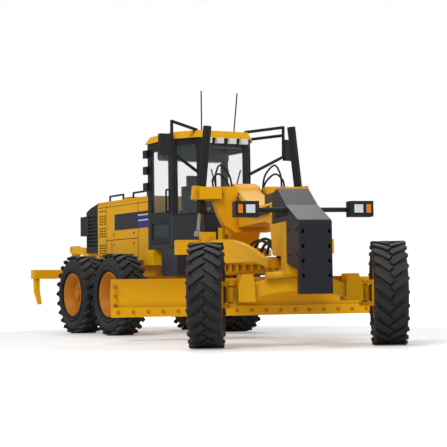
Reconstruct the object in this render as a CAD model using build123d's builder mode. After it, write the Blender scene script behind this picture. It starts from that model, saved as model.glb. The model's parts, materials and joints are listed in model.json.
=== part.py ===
"""Motor grader, a die-cast scale model at 1:50, standing as it is displayed.

Machine axes: forward is -Y, the machine's left is +X, up is +Z, the ground is Z = 0 and the
front wheels' centres are at Y = 0. The front frame lies along these axes. The rear frame is
turned about the articulation pivot and the front wheels are steered, as on the shelf.
At the end all pieces move together, so that the origin is under the middle of the model.
"""

import os
from math import atan2, cos, degrees, hypot, radians, sin

from build123d import *

# Stance on the shelf, in degrees about +Z
ARTICULATION = 18.5
STEER = -13.9

# Running fits and gaps between pieces
PIN_CLEARANCE = 0.05
GAP = 0.3
WALL_GAP = 0.1

# Wheels
TYRE_RADIUS = 13.5
TYRE_WIDTH = 8.8
TYRE_SIDES = 24
LUG_HEIGHT = 0.62
LUG_WIDTH = 1.4
LUG_ANGLE = 38.0
BEAD_RADIUS = 7.5
RIM_LIP = 0.6
RIM_DISH_DEPTH = 2.6
RIM_BACK_DEPTH = 2.9
HUB_RADIUS = 2.0
AXLE_RADIUS = 1.2
FRONT_GAUGE = 47.9
REAR_GAUGE = 44.4
TANDEM_SPACING = 30.5
WHEELBASE = 130.6

# Articulation
PIVOT_Y = 73.9
HITCH_PIN_RADIUS = 1.4
HITCH_BOSS_RADIUS = 3.1
HITCH_LOW = 19.4
HITCH_LUG = 2.2
HITCH_HIGH = 34.2

# Front frame
NOSE_HALF_WIDTH = 4.2
NOSE_FRONT = -18.6
NOSE_BACK = 9.5
NOSE_COVER_BACK = -5.5
NOSE_TOP = 32.0
NOSE_FOOT = 18.6
PLATE_FOOT = 13.6
GOOSENECK_HALF_WIDTH = 4.4
GOOSENECK_UNDER = 33.2
GOOSENECK_TOP = 38.0
GOOSENECK_CROWN = 46.8
COLUMN_FRONT = 66.5
COLUMN_BACK = 70.2
COLUMN_BEND = 7.0

# Front axle, leaning yokes and steering knuckles
LEAN_X = 13.8
LEAN_Z = 13.6
LEAN_BOSS_RADIUS = 1.7
LEAN_PIN_RADIUS = 0.75
BEAM_HALF_DEPTH = 2.0
YOKE_PLATE = 1.0
KINGPIN_X = 17.8
KINGPIN_RADIUS = 0.7
KINGPIN_TUBE_RADIUS = 1.5
KINGPIN_TUBE_HALF = 1.9
KNUCKLE_PLATE = 1.2
LEAN_BAR_Z = 17.4
LEAN_BAR_SIZE = 1.4

# Drawbar, circle and blade
BALL_Y = 2.0
BALL_Z = 21.3
BALL_RADIUS = 1.5
BALL_PIN_RADIUS = 0.9
BALL_CROSS_RADIUS = 0.6
CIRCLE_Y = 51.3
CIRCLE_RADIUS = 14.8
CIRCLE_TEETH = 44
TOOTH_DEPTH = 0.7
TOOTH_WIDTH = 1.0
CIRCLE_RING = 2.6
CIRCLE_LOW = 19.5
CIRCLE_HIGH = 21.9
DRAWBAR_PLATE = 1.6
DRAWBAR_UNDER = 22.3
DRAWBAR_TOP = 29.0
BLADE_HALF = 41.9
BLADE_SHIFT = -0.8
BLADE_Y = 51.6
BLADE_LOW = 7.1
BLADE_HIGH = 18.2
BLADE_BULGE = 2.0
BLADE_THICK = 0.8
TILT_Y = 58.0
TILT_Z = 11.2
TILT_PIN_RADIUS = 0.8
CIRCLE_ARM_X = 11.0

# Lift cylinders
LIFT_Y = 56.5
LIFT_STUD = (16.3, 30.6)
LIFT_TOP = (12.9, 63.7)
LIFT_TRUNNION_Z = 43.5
BARREL_RADIUS = 1.25
BARREL_FOOT = 6.0
ROD_RADIUS = 0.5

# Rear frame
RAIL_X = 7.0
RAIL_WIDTH = 3.0
RAIL_LOW = 19.4
RAIL_HIGH = 24.0
RAIL_BACK = 172.0
DISPLAY_SCREW_RADIUS = 1.25
DISPLAY_SCREW_DEPTH = 4.5
TANDEM_CASE_WIDTH = 4.0
TANDEM_CASE_RADIUS = 4.0
HOOD_HALF_WIDTH = 12.0
HOOD_FRONT = 111.0
HOOD_BACK = 155.0
HOOD_LOW = 25.0
HOOD_TOP = 45.5
COVER_THICK = 1.0
VENT_Y = 150.9
VENT_PITCH = 1.9
VENT_RISE = 0.95
VENT_DEPTH = 0.4
VENT_GROUPS = ((43.2, 1), (40.0, 4), (35.6, 4), (29.0, 5))
LOUVRES = 9
LOUVRE_RISE = 1.3
GRILLE_BACK = 166.5
FAN_BOX_BACK = 175.5

# Cab
CAB_FLOOR = 28.0
CAB_SILL = 38.5
CAB_HEAD = 63.0
CAB_FRONT = 82.5
CAB_MIDDLE = 91.0
CAB_BACK = 108.6
CAB_HALF_WIDTH = 14.6
CAB_NOSE_LOW = 7.2
CAB_NOSE_HIGH = 9.4
CAB_WALL = 1.1
POST_WIDTH = 1.5
GLASS_THICK = 0.4
ROOF_THICK = 2.4
ROOF_OVERHANG = 0.7

# Articulation cylinders
STEER_CYLINDER_FRONT = (7.5, 68.2)
STEER_CYLINDER_REAR = (7.0, 97.0)
STEER_CYLINDER_Z = 25.9
STEER_ROD = 20.0

# Ripper
RIPPER_PIN_Y = 174.5
RIPPER_LINK = 13.0
RIPPER_LINK_RISE = 1.0
RIPPER_LOW_Z = 19.5
RIPPER_HIGH_Z = 29.5
RIPPER_LINK_X = 6.5
RIPPER_HALF_WIDTH = 23.3
RIPPER_BEAM_HEIGHT = 3.4
RIPPER_BEAM_DEPTH = 3.6
SHANK_X = 21.8
SHANK_TIP_Z = 9.7

SIDES = {"left": 1, "right": -1}

FRONT_POSE = Location()
REAR_POSE = (
    Location((0, PIVOT_Y, 0), (0, 0, ARTICULATION)) * Location((0, -PIVOT_Y, 0))
)

pieces = {}


def keep(label, part, pose=FRONT_POSE):
    """Store a finished piece in its shelf pose under its node name."""
    pieces[label] = pose * part


def box(low, high):
    """A box between two opposite corners."""
    size = [b - a for a, b in zip(low, high)]
    middle = [(a + b) / 2 for a, b in zip(low, high)]
    with Locations(tuple(middle)):
        Box(*size)


def rod_between(start, end, radius):
    """A straight round bar from one point to another, in the current part."""
    axis = Vector(*end) - Vector(*start)
    with BuildSketch(Plane(origin=start, z_dir=axis)) as section:
        Circle(radius)
    extrude(section.sketch, amount=axis.length)


def plate(plane, points, amount, both=False, mode=Mode.ADD):
    """A flat plate with the outline given in the plane, in the current part."""
    with BuildSketch(plane) as outline:
        with BuildLine():
            Polyline(*points, close=True)
        make_face()
    extrude(outline.sketch, amount=amount, both=both, mode=mode)


def cylinder_along(plane, radius, length, both=False, mode=Mode.ADD):
    """A round boss or bore from the origin of a plane, in the current part."""
    with BuildSketch(plane) as section:
        Circle(radius)
    extrude(section.sketch, amount=length, both=both, mode=mode)


# Wheels


def lug_planes(radius, half):
    """Planes of the lugs' feet, two rows of slanted bars in a chevron."""
    planes = []
    for index in range(TYRE_SIDES):
        for side in (-1, 1):
            turn = radians((index + 0.25 * side) * 360 / TYRE_SIDES)
            out = Vector(0, -sin(turn), cos(turn))
            slant = Vector(1, 0, 0).rotate(Axis((0, 0, 0), out), side * LUG_ANGLE)
            foot = out * radius + Vector(side * half * 0.48, 0, 0)
            planes.append(Plane(origin=foot, x_dir=slant, z_dir=out))
    return planes


def make_tyre():
    """A tyre about the X axis with block lugs in a chevron."""
    half = TYRE_WIDTH / 2
    crown = TYRE_RADIUS - LUG_HEIGHT
    sections = [
        (-half * 0.74, BEAD_RADIUS + 0.8),
        (-half, BEAD_RADIUS + 2.9),
        (-half * 0.9, crown - 0.9),
        (-half * 0.62, crown),
        (half * 0.62, crown),
        (half * 0.9, crown - 0.9),
        (half, BEAD_RADIUS + 2.9),
        (half * 0.74, BEAD_RADIUS + 0.8),
    ]
    with BuildPart() as tyre:
        for x, radius in sections:
            with BuildSketch(Plane.YZ.offset(x)):
                RegularPolygon(radius, TYRE_SIDES)
        loft(ruled=True)
        cylinder_along(Plane.YZ, BEAD_RADIUS, TYRE_WIDTH, both=True, mode=Mode.SUBTRACT)
        with BuildSketch(*lug_planes(crown - 0.25, half)):
            Rectangle(half / cos(radians(LUG_ANGLE)) * 0.92, LUG_WIDTH)
        extrude(amount=LUG_HEIGHT + 0.25)
        with BuildSketch(Plane.YZ.offset(-half)):
            Circle(TYRE_RADIUS)
        extrude(amount=TYRE_WIDTH, mode=Mode.INTERSECT)
    return tyre.part


def make_rim():
    """A dished rim about the X axis, its outer side towards +X."""
    half = TYRE_WIDTH / 2 * 0.86
    floor = half - RIM_DISH_DEPTH
    back = -half + RIM_BACK_DEPTH
    with BuildPart() as rim:
        with BuildSketch(Plane.XY):
            with BuildLine():
                Polyline(
                    (back, AXLE_RADIUS + PIN_CLEARANCE),
                    (back, BEAD_RADIUS - RIM_LIP - 1.2),
                    (-half, BEAD_RADIUS - RIM_LIP),
                    (-half, BEAD_RADIUS),
                    (half, BEAD_RADIUS),
                    (half + 0.25, BEAD_RADIUS - RIM_LIP / 2),
                    (half, BEAD_RADIUS - RIM_LIP),
                    (floor, BEAD_RADIUS - RIM_LIP - 1.6),
                    (floor, HUB_RADIUS),
                    (floor + 1.1, HUB_RADIUS - 0.3),
                    (floor + 1.1, 0),
                    (floor + 0.6, 0),
                    (floor + 0.6, AXLE_RADIUS + PIN_CLEARANCE),
                    close=True,
                )
            make_face()
        revolve(axis=Axis.X)
    return rim.part


def wheel_stations():
    """Name, centre, outward side and shelf pose of each of the six wheels."""
    stations = []
    for word, side in SIDES.items():
        steer = (
            Location((side * KINGPIN_X, 0, 0), (0, 0, STEER))
            * Location((-side * KINGPIN_X, 0, 0))
        )
        stations.append((f"front_{word}", (side * FRONT_GAUGE / 2, 0), side, steer))
        for place, offset in (("middle", -0.5), ("rear", 0.5)):
            y = WHEELBASE + offset * TANDEM_SPACING
            stations.append((f"{place}_{word}", (side * REAR_GAUGE / 2, y), side, REAR_POSE))
    return stations


def make_wheels():
    """Six tyres and six rims, each pair turning together."""
    tyre = make_tyre()
    rim = make_rim()
    for name, (x, y), side, pose in wheel_stations():
        outward = Location((x, y, TYRE_RADIUS), (0, 0, 0 if side > 0 else 180))
        keep(f"tyre_{name}", outward * tyre, pose)
        keep(f"rim_{name}", outward * rim, pose)


# Front frame


def nose_tongue():
    """Side outline of the frame's tongue, which fills the pocket of the nose cover."""
    return [
        (-4.0, NOSE_TOP - 1.0), (-4.0, 34.4), (3.0, 37.6), (NOSE_BACK + 1.6, 37.6),
        (NOSE_BACK + 1.6, NOSE_TOP - 1.0),
    ]


def make_front_frame():
    """Nose box, gooseneck and hitch barrel in one welded piece."""
    low = HITCH_LOW + HITCH_LUG + GAP
    high = HITCH_HIGH - HITCH_LUG - GAP
    with BuildPart() as frame:
        with BuildSketch(Plane.YZ):
            with BuildLine():
                Line((NOSE_BACK + 0.6, NOSE_TOP), (NOSE_BACK + 9, GOOSENECK_UNDER))
                Line((NOSE_BACK + 9, GOOSENECK_UNDER), (COLUMN_FRONT - COLUMN_BEND, GOOSENECK_UNDER))
                RadiusArc(
                    (COLUMN_FRONT - COLUMN_BEND, GOOSENECK_UNDER),
                    (COLUMN_FRONT, GOOSENECK_UNDER - COLUMN_BEND),
                    COLUMN_BEND,
                )
                Polyline(
                    (COLUMN_FRONT, GOOSENECK_UNDER - COLUMN_BEND),
                    (COLUMN_FRONT, HITCH_LOW + 1.0),
                    (COLUMN_BACK, HITCH_LOW + 1.0),
                    (COLUMN_BACK, HITCH_HIGH + 1.0),
                    (PIVOT_Y + 1.2, HITCH_HIGH + 2.0),
                    (PIVOT_Y + 1.2, GOOSENECK_CROWN - 6),
                )
                ThreePointArc(
                    (PIVOT_Y + 1.2, GOOSENECK_CROWN - 6),
                    (PIVOT_Y - 5.0, GOOSENECK_CROWN),
                    (PIVOT_Y - 14.0, GOOSENECK_CROWN - 2.2),
                )
                Polyline(
                    (PIVOT_Y - 14.0, GOOSENECK_CROWN - 2.2),
                    (38.0, GOOSENECK_TOP + 0.6),
                    (24.0, GOOSENECK_TOP),
                    (NOSE_BACK + 0.6, GOOSENECK_TOP),
                    (NOSE_BACK + 0.6, NOSE_TOP),
                )
            make_face()
        extrude(amount=GOOSENECK_HALF_WIDTH, both=True)
        crown = frame.edges().filter_by_position(Axis.Z, GOOSENECK_TOP, GOOSENECK_CROWN + 1)
        chamfer(crown.filter_by(lambda edge: abs(edge.center().X) > GOOSENECK_HALF_WIDTH / 2), 0.8)
        plate(
            Plane.YZ,
            [
                (NOSE_COVER_BACK, NOSE_TOP),
                (NOSE_COVER_BACK, NOSE_FOOT),
                (BALL_Y - 1.8, NOSE_FOOT),
                (BALL_Y - 1.8, BALL_Z + BALL_RADIUS + 0.5),
                (NOSE_BACK, BALL_Z + BALL_RADIUS + 0.9),
                (NOSE_BACK + 3.0, NOSE_TOP + 1.0),
                (NOSE_BACK + 0.6, NOSE_TOP + 1.0),
                (NOSE_BACK + 0.6, NOSE_TOP),
            ],
            GOOSENECK_HALF_WIDTH,
            both=True,
        )
        plate(Plane.YZ, nose_tongue(), NOSE_HALF_WIDTH - 1.2, both=True)
        cylinder_along(
            Plane(origin=(0, BALL_Y, BALL_Z)), BALL_PIN_RADIUS + PIN_CLEARANCE, BALL_RADIUS + 2.7,
            mode=Mode.SUBTRACT,
        )
        cylinder_along(
            Plane.XY.offset(low) * Location((0, PIVOT_Y, 0)), HITCH_BOSS_RADIUS, high - low
        )
        box((-2.6, COLUMN_BACK - 0.5, low), (2.6, PIVOT_Y - 1.5, high))
        cylinder_along(
            Plane.XY.offset(low - 1) * Location((0, PIVOT_Y, 0)),
            HITCH_PIN_RADIUS + PIN_CLEARANCE,
            high - low + 2,
            mode=Mode.SUBTRACT,
        )
        for side in (-1, 1):
            x, y = STEER_CYLINDER_FRONT
            ear_z = STEER_CYLINDER_Z - 1.0 - GAP - 1.4
            cylinder_along(Plane(origin=(side * x, y, ear_z)), 1.5, 1.4)
            box(
                (min(side * 4.0, side * x), y - 1.5, ear_z),
                (max(side * 4.0, side * x), y + 1.5, ear_z + 1.4),
            )
    keep("front_frame", frame.part)


def make_nose_cover():
    """The dark nose block: sloped top, side plates and the front push plate."""
    with BuildPart() as cover:
        plate(
            Plane.YZ,
            [
                (NOSE_FRONT, PLATE_FOOT),
                (NOSE_FRONT, 30.6),
                (NOSE_FRONT + 1.2, 31.8),
                (-5.0, 36.2),
                (4.0, 41.0),
                (NOSE_BACK + 0.6, 40.2),
                (NOSE_BACK + 0.6, NOSE_TOP),
                (NOSE_COVER_BACK, NOSE_TOP),
                (NOSE_COVER_BACK, 21.4),
                (-15.8, 19.6),
                (-15.8, PLATE_FOOT),
            ],
            NOSE_HALF_WIDTH,
            both=True,
        )
        chamfer(cover.edges().filter_by(Axis.Z).group_by(Axis.Y)[0], 0.6)
        plate(
            Plane.YZ, nose_tongue(), NOSE_HALF_WIDTH - 1.2, both=True, mode=Mode.SUBTRACT
        )
    keep("nose_cover", cover.part)


def make_headlamps():
    """Two lamp boxes on round arms from the nose cover, and their lenses."""
    with BuildPart() as lamps:
        for side in (-1, 1):
            rod_between((side * NOSE_HALF_WIDTH, -5.4, 34.9), (side * 12.2, -5.4, 34.9), 0.6)
            box(
                (min(side * 11.8, side * 18.0), -8.2, 33.0),
                (max(side * 11.8, side * 18.0), -4.6, 37.0),
            )
    keep("headlamps", lamps.part)
    with BuildPart() as lenses:
        for side in (-1, 1):
            for near, far in ((12.9, 15.2), (16.1, 17.2)):
                box(
                    (min(side * near, side * far), -8.5, 34.0),
                    (max(side * near, side * far), -8.2, 36.1),
                )
    keep("headlamp_lenses", lenses.part)


def make_valve_block():
    """Valve block and hose cover on top of the gooseneck."""
    with BuildPart() as valves:
        box((-3.4, NOSE_BACK + 1.4, GOOSENECK_TOP), (3.4, NOSE_BACK + 13.0, 40.6))
        box((-2.2, NOSE_BACK + 13.0, GOOSENECK_TOP), (2.2, NOSE_BACK + 14.4, 39.6))
    keep("valve_block", valves.part)


def make_lift_saddle():
    """The ring round the gooseneck that carries the lift cylinders."""
    trunnion_x = lift_axis_x(LIFT_TRUNNION_Z)
    with BuildPart() as saddle:
        with BuildSketch(Plane.XZ.offset(-LIFT_Y)):
            with BuildLine():
                Polyline(
                    (-5.4, 31.8), (5.4, 31.8), (8.6, 34.0), (10.2, 37.4), (11.2, 40.6),
                    (11.2, 45.4), (-11.2, 45.4), (-11.2, 40.6), (-10.2, 37.4), (-8.6, 34.0),
                    close=True,
                )
            make_face()
            with Locations((0, 44.0)):
                Rectangle(2 * GOOSENECK_HALF_WIDTH, 2 * (44.0 - GOOSENECK_UNDER), mode=Mode.SUBTRACT)
        extrude(amount=2.6, both=True)
        for side in (-1, 1):
            for end in (-1, 1):
                y = LIFT_Y + end * 3.6
                box(
                    (min(side * 9.6, side * (trunnion_x + 1.2)), y - 0.7, 41.6),
                    (max(side * 9.6, side * (trunnion_x + 1.2)), y + 0.7, 45.2),
                )
                box(
                    (min(side * 9.6, side * 11.2), min(y, LIFT_Y + end * 2.0), 41.6),
                    (max(side * 9.6, side * 11.2), max(y, LIFT_Y + end * 2.0), 45.2),
                )
                rod_between(
                    (side * trunnion_x, y, LIFT_TRUNNION_Z),
                    (side * trunnion_x, LIFT_Y + end * 1.45, LIFT_TRUNNION_Z),
                    0.6,
                )
    keep("lift_saddle", saddle.part)


# Front axle


def make_front_axle():
    """The bowed beam between the leaning yokes."""
    with BuildPart() as beam:
        with BuildSketch(Plane.XZ):
            with BuildLine():
                ThreePointArc((-LEAN_X, LEAN_Z + 1.6), (0, NOSE_FOOT), (LEAN_X, LEAN_Z + 1.6))
                Line((LEAN_X, LEAN_Z + 1.6), (LEAN_X, LEAN_Z - 1.4))
                ThreePointArc((LEAN_X, LEAN_Z - 1.4), (0, 14.4), (-LEAN_X, LEAN_Z - 1.4))
                Line((-LEAN_X, LEAN_Z - 1.4), (-LEAN_X, LEAN_Z + 1.6))
            make_face()
            with Locations((0, NOSE_FOOT - 1.4)):
                Rectangle(6.0, 2.8)
            with Locations((LEAN_X, LEAN_Z), (-LEAN_X, LEAN_Z)):
                Circle(LEAN_BOSS_RADIUS)
            with Locations((LEAN_X, LEAN_Z), (-LEAN_X, LEAN_Z)):
                Circle(LEAN_PIN_RADIUS + PIN_CLEARANCE, mode=Mode.SUBTRACT)
        extrude(amount=BEAM_HALF_DEPTH, both=True)
    keep("front_axle", beam.part)


def make_lean_bar():
    """The bar behind the beam that keeps both yokes at one lean."""
    y = BEAM_HALF_DEPTH + YOKE_PLATE + 2 * GAP
    with BuildPart() as bar:
        with BuildSketch(Plane.XZ.offset(-y)):
            with Locations((0, LEAN_BAR_Z)):
                Rectangle(2 * LEAN_X, LEAN_BAR_SIZE)
            with Locations((LEAN_X, LEAN_BAR_Z), (-LEAN_X, LEAN_BAR_Z)):
                Circle(1.1)
                Circle(0.6 + PIN_CLEARANCE, mode=Mode.SUBTRACT)
        extrude(amount=-1.2)
    keep("lean_bar", bar.part)


def make_yokes():
    """Leaning yokes: two plates round the beam's end and the kingpin tube."""
    inner = BEAM_HALF_DEPTH + GAP
    outer = inner + YOKE_PLATE
    for word, side in SIDES.items():
        with BuildPart() as yoke:
            for end in (-1, 1):
                with BuildSketch(Plane.XZ.offset(-end * inner)):
                    with BuildLine():
                        Polyline(
                            (side * 12.0, LEAN_Z - 1.9),
                            (side * 16.4, LEAN_Z - 1.9),
                            (side * 16.4, LEAN_Z + 2.4),
                            (side * 15.2, LEAN_BAR_Z + 1.3),
                            (side * 12.6, LEAN_BAR_Z + 1.3),
                            (side * 12.0, LEAN_Z + 1.9),
                            close=True,
                        )
                    make_face()
                extrude(amount=-end * YOKE_PLATE)
            rod_between((side * LEAN_X, -outer, LEAN_Z), (side * LEAN_X, outer, LEAN_Z), LEAN_PIN_RADIUS)
            rod_between(
                (side * LEAN_X, inner, LEAN_BAR_Z), (side * LEAN_X, outer + 1.6, LEAN_BAR_Z), 0.6
            )
            web = LEAN_X + LEAN_BOSS_RADIUS + GAP
            box(
                (min(side * web, side * 16.4), -outer, LEAN_Z - KINGPIN_TUBE_HALF),
                (max(side * web, side * 16.4), outer, LEAN_Z + KINGPIN_TUBE_HALF),
            )
            foot = Plane(origin=(side * KINGPIN_X, 0, LEAN_Z - KINGPIN_TUBE_HALF))
            box(
                (min(side * 16.0, side * KINGPIN_X), -1.2, LEAN_Z - KINGPIN_TUBE_HALF),
                (max(side * 16.0, side * KINGPIN_X), 1.2, LEAN_Z + KINGPIN_TUBE_HALF),
            )
            cylinder_along(foot, KINGPIN_TUBE_RADIUS, 2 * KINGPIN_TUBE_HALF)
            cylinder_along(
                foot, KINGPIN_RADIUS + PIN_CLEARANCE, 2 * KINGPIN_TUBE_HALF, mode=Mode.SUBTRACT
            )
        keep(f"lean_yoke_{word}", yoke.part)


def make_knuckles():
    """Steering knuckles: fork, kingpin and wheel spindle."""
    top = LEAN_Z + KINGPIN_TUBE_HALF + GAP
    bottom = LEAN_Z - KINGPIN_TUBE_HALF - GAP
    spindle_end = FRONT_GAUGE / 2 + TYRE_WIDTH / 2 * 0.86 - RIM_DISH_DEPTH + 0.4
    for word, side in SIDES.items():
        steer = (
            Location((side * KINGPIN_X, 0, 0), (0, 0, STEER))
            * Location((-side * KINGPIN_X, 0, 0))
        )
        web_near = KINGPIN_X + KINGPIN_TUBE_RADIUS + GAP
        web_far = web_near + 1.1
        with BuildPart() as knuckle:
            for z in (bottom - KNUCKLE_PLATE, top):
                cylinder_along(
                    Plane(origin=(side * KINGPIN_X, 0, z)), KINGPIN_TUBE_RADIUS, KNUCKLE_PLATE
                )
                box(
                    (min(side * KINGPIN_X, side * web_far), -1.3, z),
                    (max(side * KINGPIN_X, side * web_far), 1.3, z + KNUCKLE_PLATE),
                )
            cylinder_along(
                Plane(origin=(side * KINGPIN_X, 0, bottom - 0.5)), KINGPIN_RADIUS, top - bottom + 1
            )
            box(
                (min(side * web_near, side * web_far), -1.8, bottom - KNUCKLE_PLATE),
                (max(side * web_near, side * web_far), 1.8, top + KNUCKLE_PLATE),
            )
            rod_between(
                (side * web_near, 0, TYRE_RADIUS), (side * spindle_end, 0, TYRE_RADIUS), AXLE_RADIUS
            )
        keep(f"steer_knuckle_{word}", knuckle.part, steer)


# Drawbar, circle and blade


def make_drawbar_ball():
    """The ball and its shank under the nose box, which turns with the drawbar."""
    with BuildPart() as ball:
        with Locations((0, BALL_Y, BALL_Z)):
            Sphere(BALL_RADIUS)
        cylinder_along(Plane(origin=(0, BALL_Y, BALL_Z)), BALL_PIN_RADIUS, BALL_RADIUS + 2.4)
        cylinder_along(
            Plane(origin=(-BALL_RADIUS, BALL_Y, BALL_Z), z_dir=(1, 0, 0)),
            BALL_CROSS_RADIUS + PIN_CLEARANCE, 2 * BALL_RADIUS, mode=Mode.SUBTRACT,
        )
    keep("drawbar_ball", ball.part)


def drawbar_x(y):
    """Half width of the drawbar's outer faces at a distance behind the front wheels."""
    return 5.2 + (y - 2.0) * 11.4 / 54.0


def make_drawbar():
    """The A-shaped drawbar with deep arched sides, cross plates and lift brackets."""
    front_y = 7.0
    back_y = 60.0
    slope = atan2(drawbar_x(back_y) - drawbar_x(front_y), back_y - front_y)
    length = hypot(drawbar_x(back_y) - drawbar_x(front_y), back_y - front_y)
    with BuildPart() as drawbar:
        for side in (-1, 1):
            along = Vector(side * sin(slope), cos(slope), 0)
            face = Plane(
                origin=(side * drawbar_x(front_y), front_y, 0),
                x_dir=along,
                z_dir=Vector(along.Y, -along.X, 0),
            )
            with BuildSketch(face):
                with BuildLine():
                    Line((0, 20.4), (9.0, DRAWBAR_UNDER))
                    Line((9.0, DRAWBAR_UNDER), (length, DRAWBAR_UNDER))
                    Line((length, DRAWBAR_UNDER), (length, DRAWBAR_TOP - 2.4))
                    Spline(
                        (length, DRAWBAR_TOP - 2.4), (length * 0.72, DRAWBAR_TOP),
                        (length * 0.36, DRAWBAR_TOP - 1.2), (3.6, 23.0),
                    )
                    Polyline((3.6, 23.0), (0, 22.8), (0, 20.4))
                make_face()
            extrude(amount=-side * DRAWBAR_PLATE)
        plate(
            Plane.XY.offset(20.4),
            [(-drawbar_x(7.2) + 0.4, 7.2), (drawbar_x(7.2) - 0.4, 7.2),
             (drawbar_x(10.5) - 0.4, 10.5), (-drawbar_x(10.5) + 0.4, 10.5)],
            2.4,
        )
        ear = BALL_RADIUS + GAP
        for side in (-1, 1):
            cylinder_along(
                Plane(origin=(side * ear, BALL_Y, BALL_Z), z_dir=(side, 0, 0)), 1.2, 1.1
            )
            box(
                (min(side * ear, side * (ear + 1.1)), BALL_Y, BALL_Z - 0.8),
                (max(side * ear, side * (ear + 1.1)), 7.8, BALL_Z + 0.8),
            )
        rod_between(
            (-ear - 0.5, BALL_Y, BALL_Z), (ear + 0.5, BALL_Y, BALL_Z), BALL_CROSS_RADIUS
        )
        plate(
            Plane.XY.offset(DRAWBAR_UNDER),
            [(-drawbar_x(34) + 0.4, 34), (drawbar_x(34) - 0.4, 34),
             (drawbar_x(60) - 0.4, 60), (drawbar_x(60) - 0.4, 62),
             (-drawbar_x(60) + 0.4, 62), (-drawbar_x(60) + 0.4, 60)],
            1.6,
        )
        cylinder_along(
            Plane.XY.offset(DRAWBAR_UNDER - 1) * Location((0, CIRCLE_Y, 0)), 7.5, 4,
            mode=Mode.SUBTRACT,
        )
        cylinder_along(Plane.XY.offset(DRAWBAR_UNDER) * Location((6.0, 38.4, 0)), 2.4, 5.0)
        for side in (-1, 1):
            stud_x = LIFT_STUD[0]
            box(
                (min(side * 12.4, side * 16.6), 47.6, DRAWBAR_TOP - 1.5),
                (max(side * 12.4, side * 16.6), 52.6, DRAWBAR_TOP + 2.6),
            )
            box(
                (min(side * 15.0, side * 23.6), 49.0, 25.2),
                (max(side * 15.0, side * 23.6), 54.6, 29.4),
            )
            box(
                (min(side * 14.0, side * (stud_x + 1.6)), LIFT_Y - 1.8, 26.4),
                (max(side * 14.0, side * (stud_x + 1.6)), LIFT_Y + 1.8, 28.6),
            )
            rod_between((side * stud_x, LIFT_Y, 28.4), (side * stud_x, LIFT_Y, 29.5), 0.9)
    keep("drawbar", drawbar.part)


def make_circle():
    """The turntable ring with the two arms that carry the blade."""
    with BuildPart() as circle:
        centre = Location((0, CIRCLE_Y, 0))
        height = CIRCLE_HIGH - CIRCLE_LOW
        cylinder_along(Plane.XY.offset(CIRCLE_LOW) * centre, CIRCLE_RADIUS - TOOTH_DEPTH, height)
        with BuildSketch(Plane.XY.offset(CIRCLE_LOW + 0.5)) as teeth:
            with Locations((0, CIRCLE_Y)):
                with PolarLocations(CIRCLE_RADIUS - TOOTH_DEPTH, CIRCLE_TEETH):
                    Rectangle(2 * TOOTH_DEPTH, TOOTH_WIDTH)
        extrude(teeth.sketch, amount=height - 0.5)
        cylinder_along(
            Plane.XY.offset(CIRCLE_LOW - 1) * centre, CIRCLE_RADIUS - TOOTH_DEPTH - CIRCLE_RING, 5,
            mode=Mode.SUBTRACT,
        )
        for side in (-1, 1):
            arm = Plane.YZ.offset(side * CIRCLE_ARM_X - 0.9)
            plate(
                arm,
                [(CIRCLE_Y - 9.0, CIRCLE_LOW + 0.4), (CIRCLE_Y + 10.8, CIRCLE_LOW + 0.4),
                 (CIRCLE_Y + 10.8, CIRCLE_LOW - 1.2), (TILT_Y + 2.0, TILT_Z - 1.4),
                 (TILT_Y - 1.0, TILT_Z - 2.2), (TILT_Y - 1.7, TILT_Z),
                 (BLADE_Y + 4.2, BLADE_HIGH - 1.2), (BLADE_Y + 2.8, CIRCLE_LOW - 0.4),
                 (CIRCLE_Y - 9.0, CIRCLE_LOW - 0.4)],
                1.8,
            )
            cylinder_along(
                Plane.YZ.offset(side * CIRCLE_ARM_X - 2) * Location((TILT_Y, TILT_Z, 0)),
                TILT_PIN_RADIUS + PIN_CLEARANCE, 4, mode=Mode.SUBTRACT,
            )
    keep("circle", circle.part)


def blade_arc(offset, end=0.0):
    """Bottom, middle and top of the blade's curved section, moved back by an offset."""
    middle = (BLADE_LOW + BLADE_HIGH) / 2
    return (
        (BLADE_Y + offset, BLADE_LOW - end),
        (BLADE_Y + BLADE_BULGE + offset, middle),
        (BLADE_Y + offset + 0.4, BLADE_HIGH + end),
    )


def make_moldboard():
    """The curved blade with its two back rails."""
    with BuildPart() as blade:
        with BuildSketch(Plane.YZ.offset(BLADE_SHIFT - BLADE_HALF)):
            low, middle, high = blade_arc(0)
            low_back, middle_back, high_back = blade_arc(BLADE_THICK)
            with BuildLine():
                ThreePointArc(low, middle, high)
                Line(high, high_back)
                ThreePointArc(high_back, middle_back, low_back)
                Line(low_back, low)
            make_face()
        extrude(amount=2 * BLADE_HALF)
        for z in (TILT_Z - 1.9, TILT_Z + 3.1):
            box(
                (BLADE_SHIFT - 0.78 * BLADE_HALF, BLADE_Y + 2.0, z - 0.5),
                (BLADE_SHIFT + 0.78 * BLADE_HALF, BLADE_Y + 3.4, z + 0.5),
            )
    keep("moldboard", blade.part)


def make_blade_carrier():
    """The carrier between the circle's arms and the blade's rails."""
    face = BLADE_Y + 3.4 + GAP
    with BuildPart() as carrier:
        rod_between(
            (-CIRCLE_ARM_X - 1.6, TILT_Y, TILT_Z), (CIRCLE_ARM_X + 1.6, TILT_Y, TILT_Z),
            TILT_PIN_RADIUS,
        )
        for side in (-1, 1):
            near = CIRCLE_ARM_X - 0.9 - GAP
            plate(
                Plane.YZ.offset(side * (near - 1.0) - 1.0),
                [(face, TILT_Z - 2.8), (face, TILT_Z + 4.0), (face + 1.0, TILT_Z + 4.0),
                 (TILT_Y + 1.4, TILT_Z + 0.6), (TILT_Y + 0.6, TILT_Z - 1.4),
                 (face + 1.0, TILT_Z - 2.8)],
                2.0,
            )
    keep("blade_carrier", carrier.part)


# Lift cylinders


def lift_axis_x(z):
    """Half distance between the lift cylinders' axes at a height."""
    share = (z - LIFT_STUD[1]) / (LIFT_TOP[1] - LIFT_STUD[1])
    return LIFT_STUD[0] + share * (LIFT_TOP[0] - LIFT_STUD[0])


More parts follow.
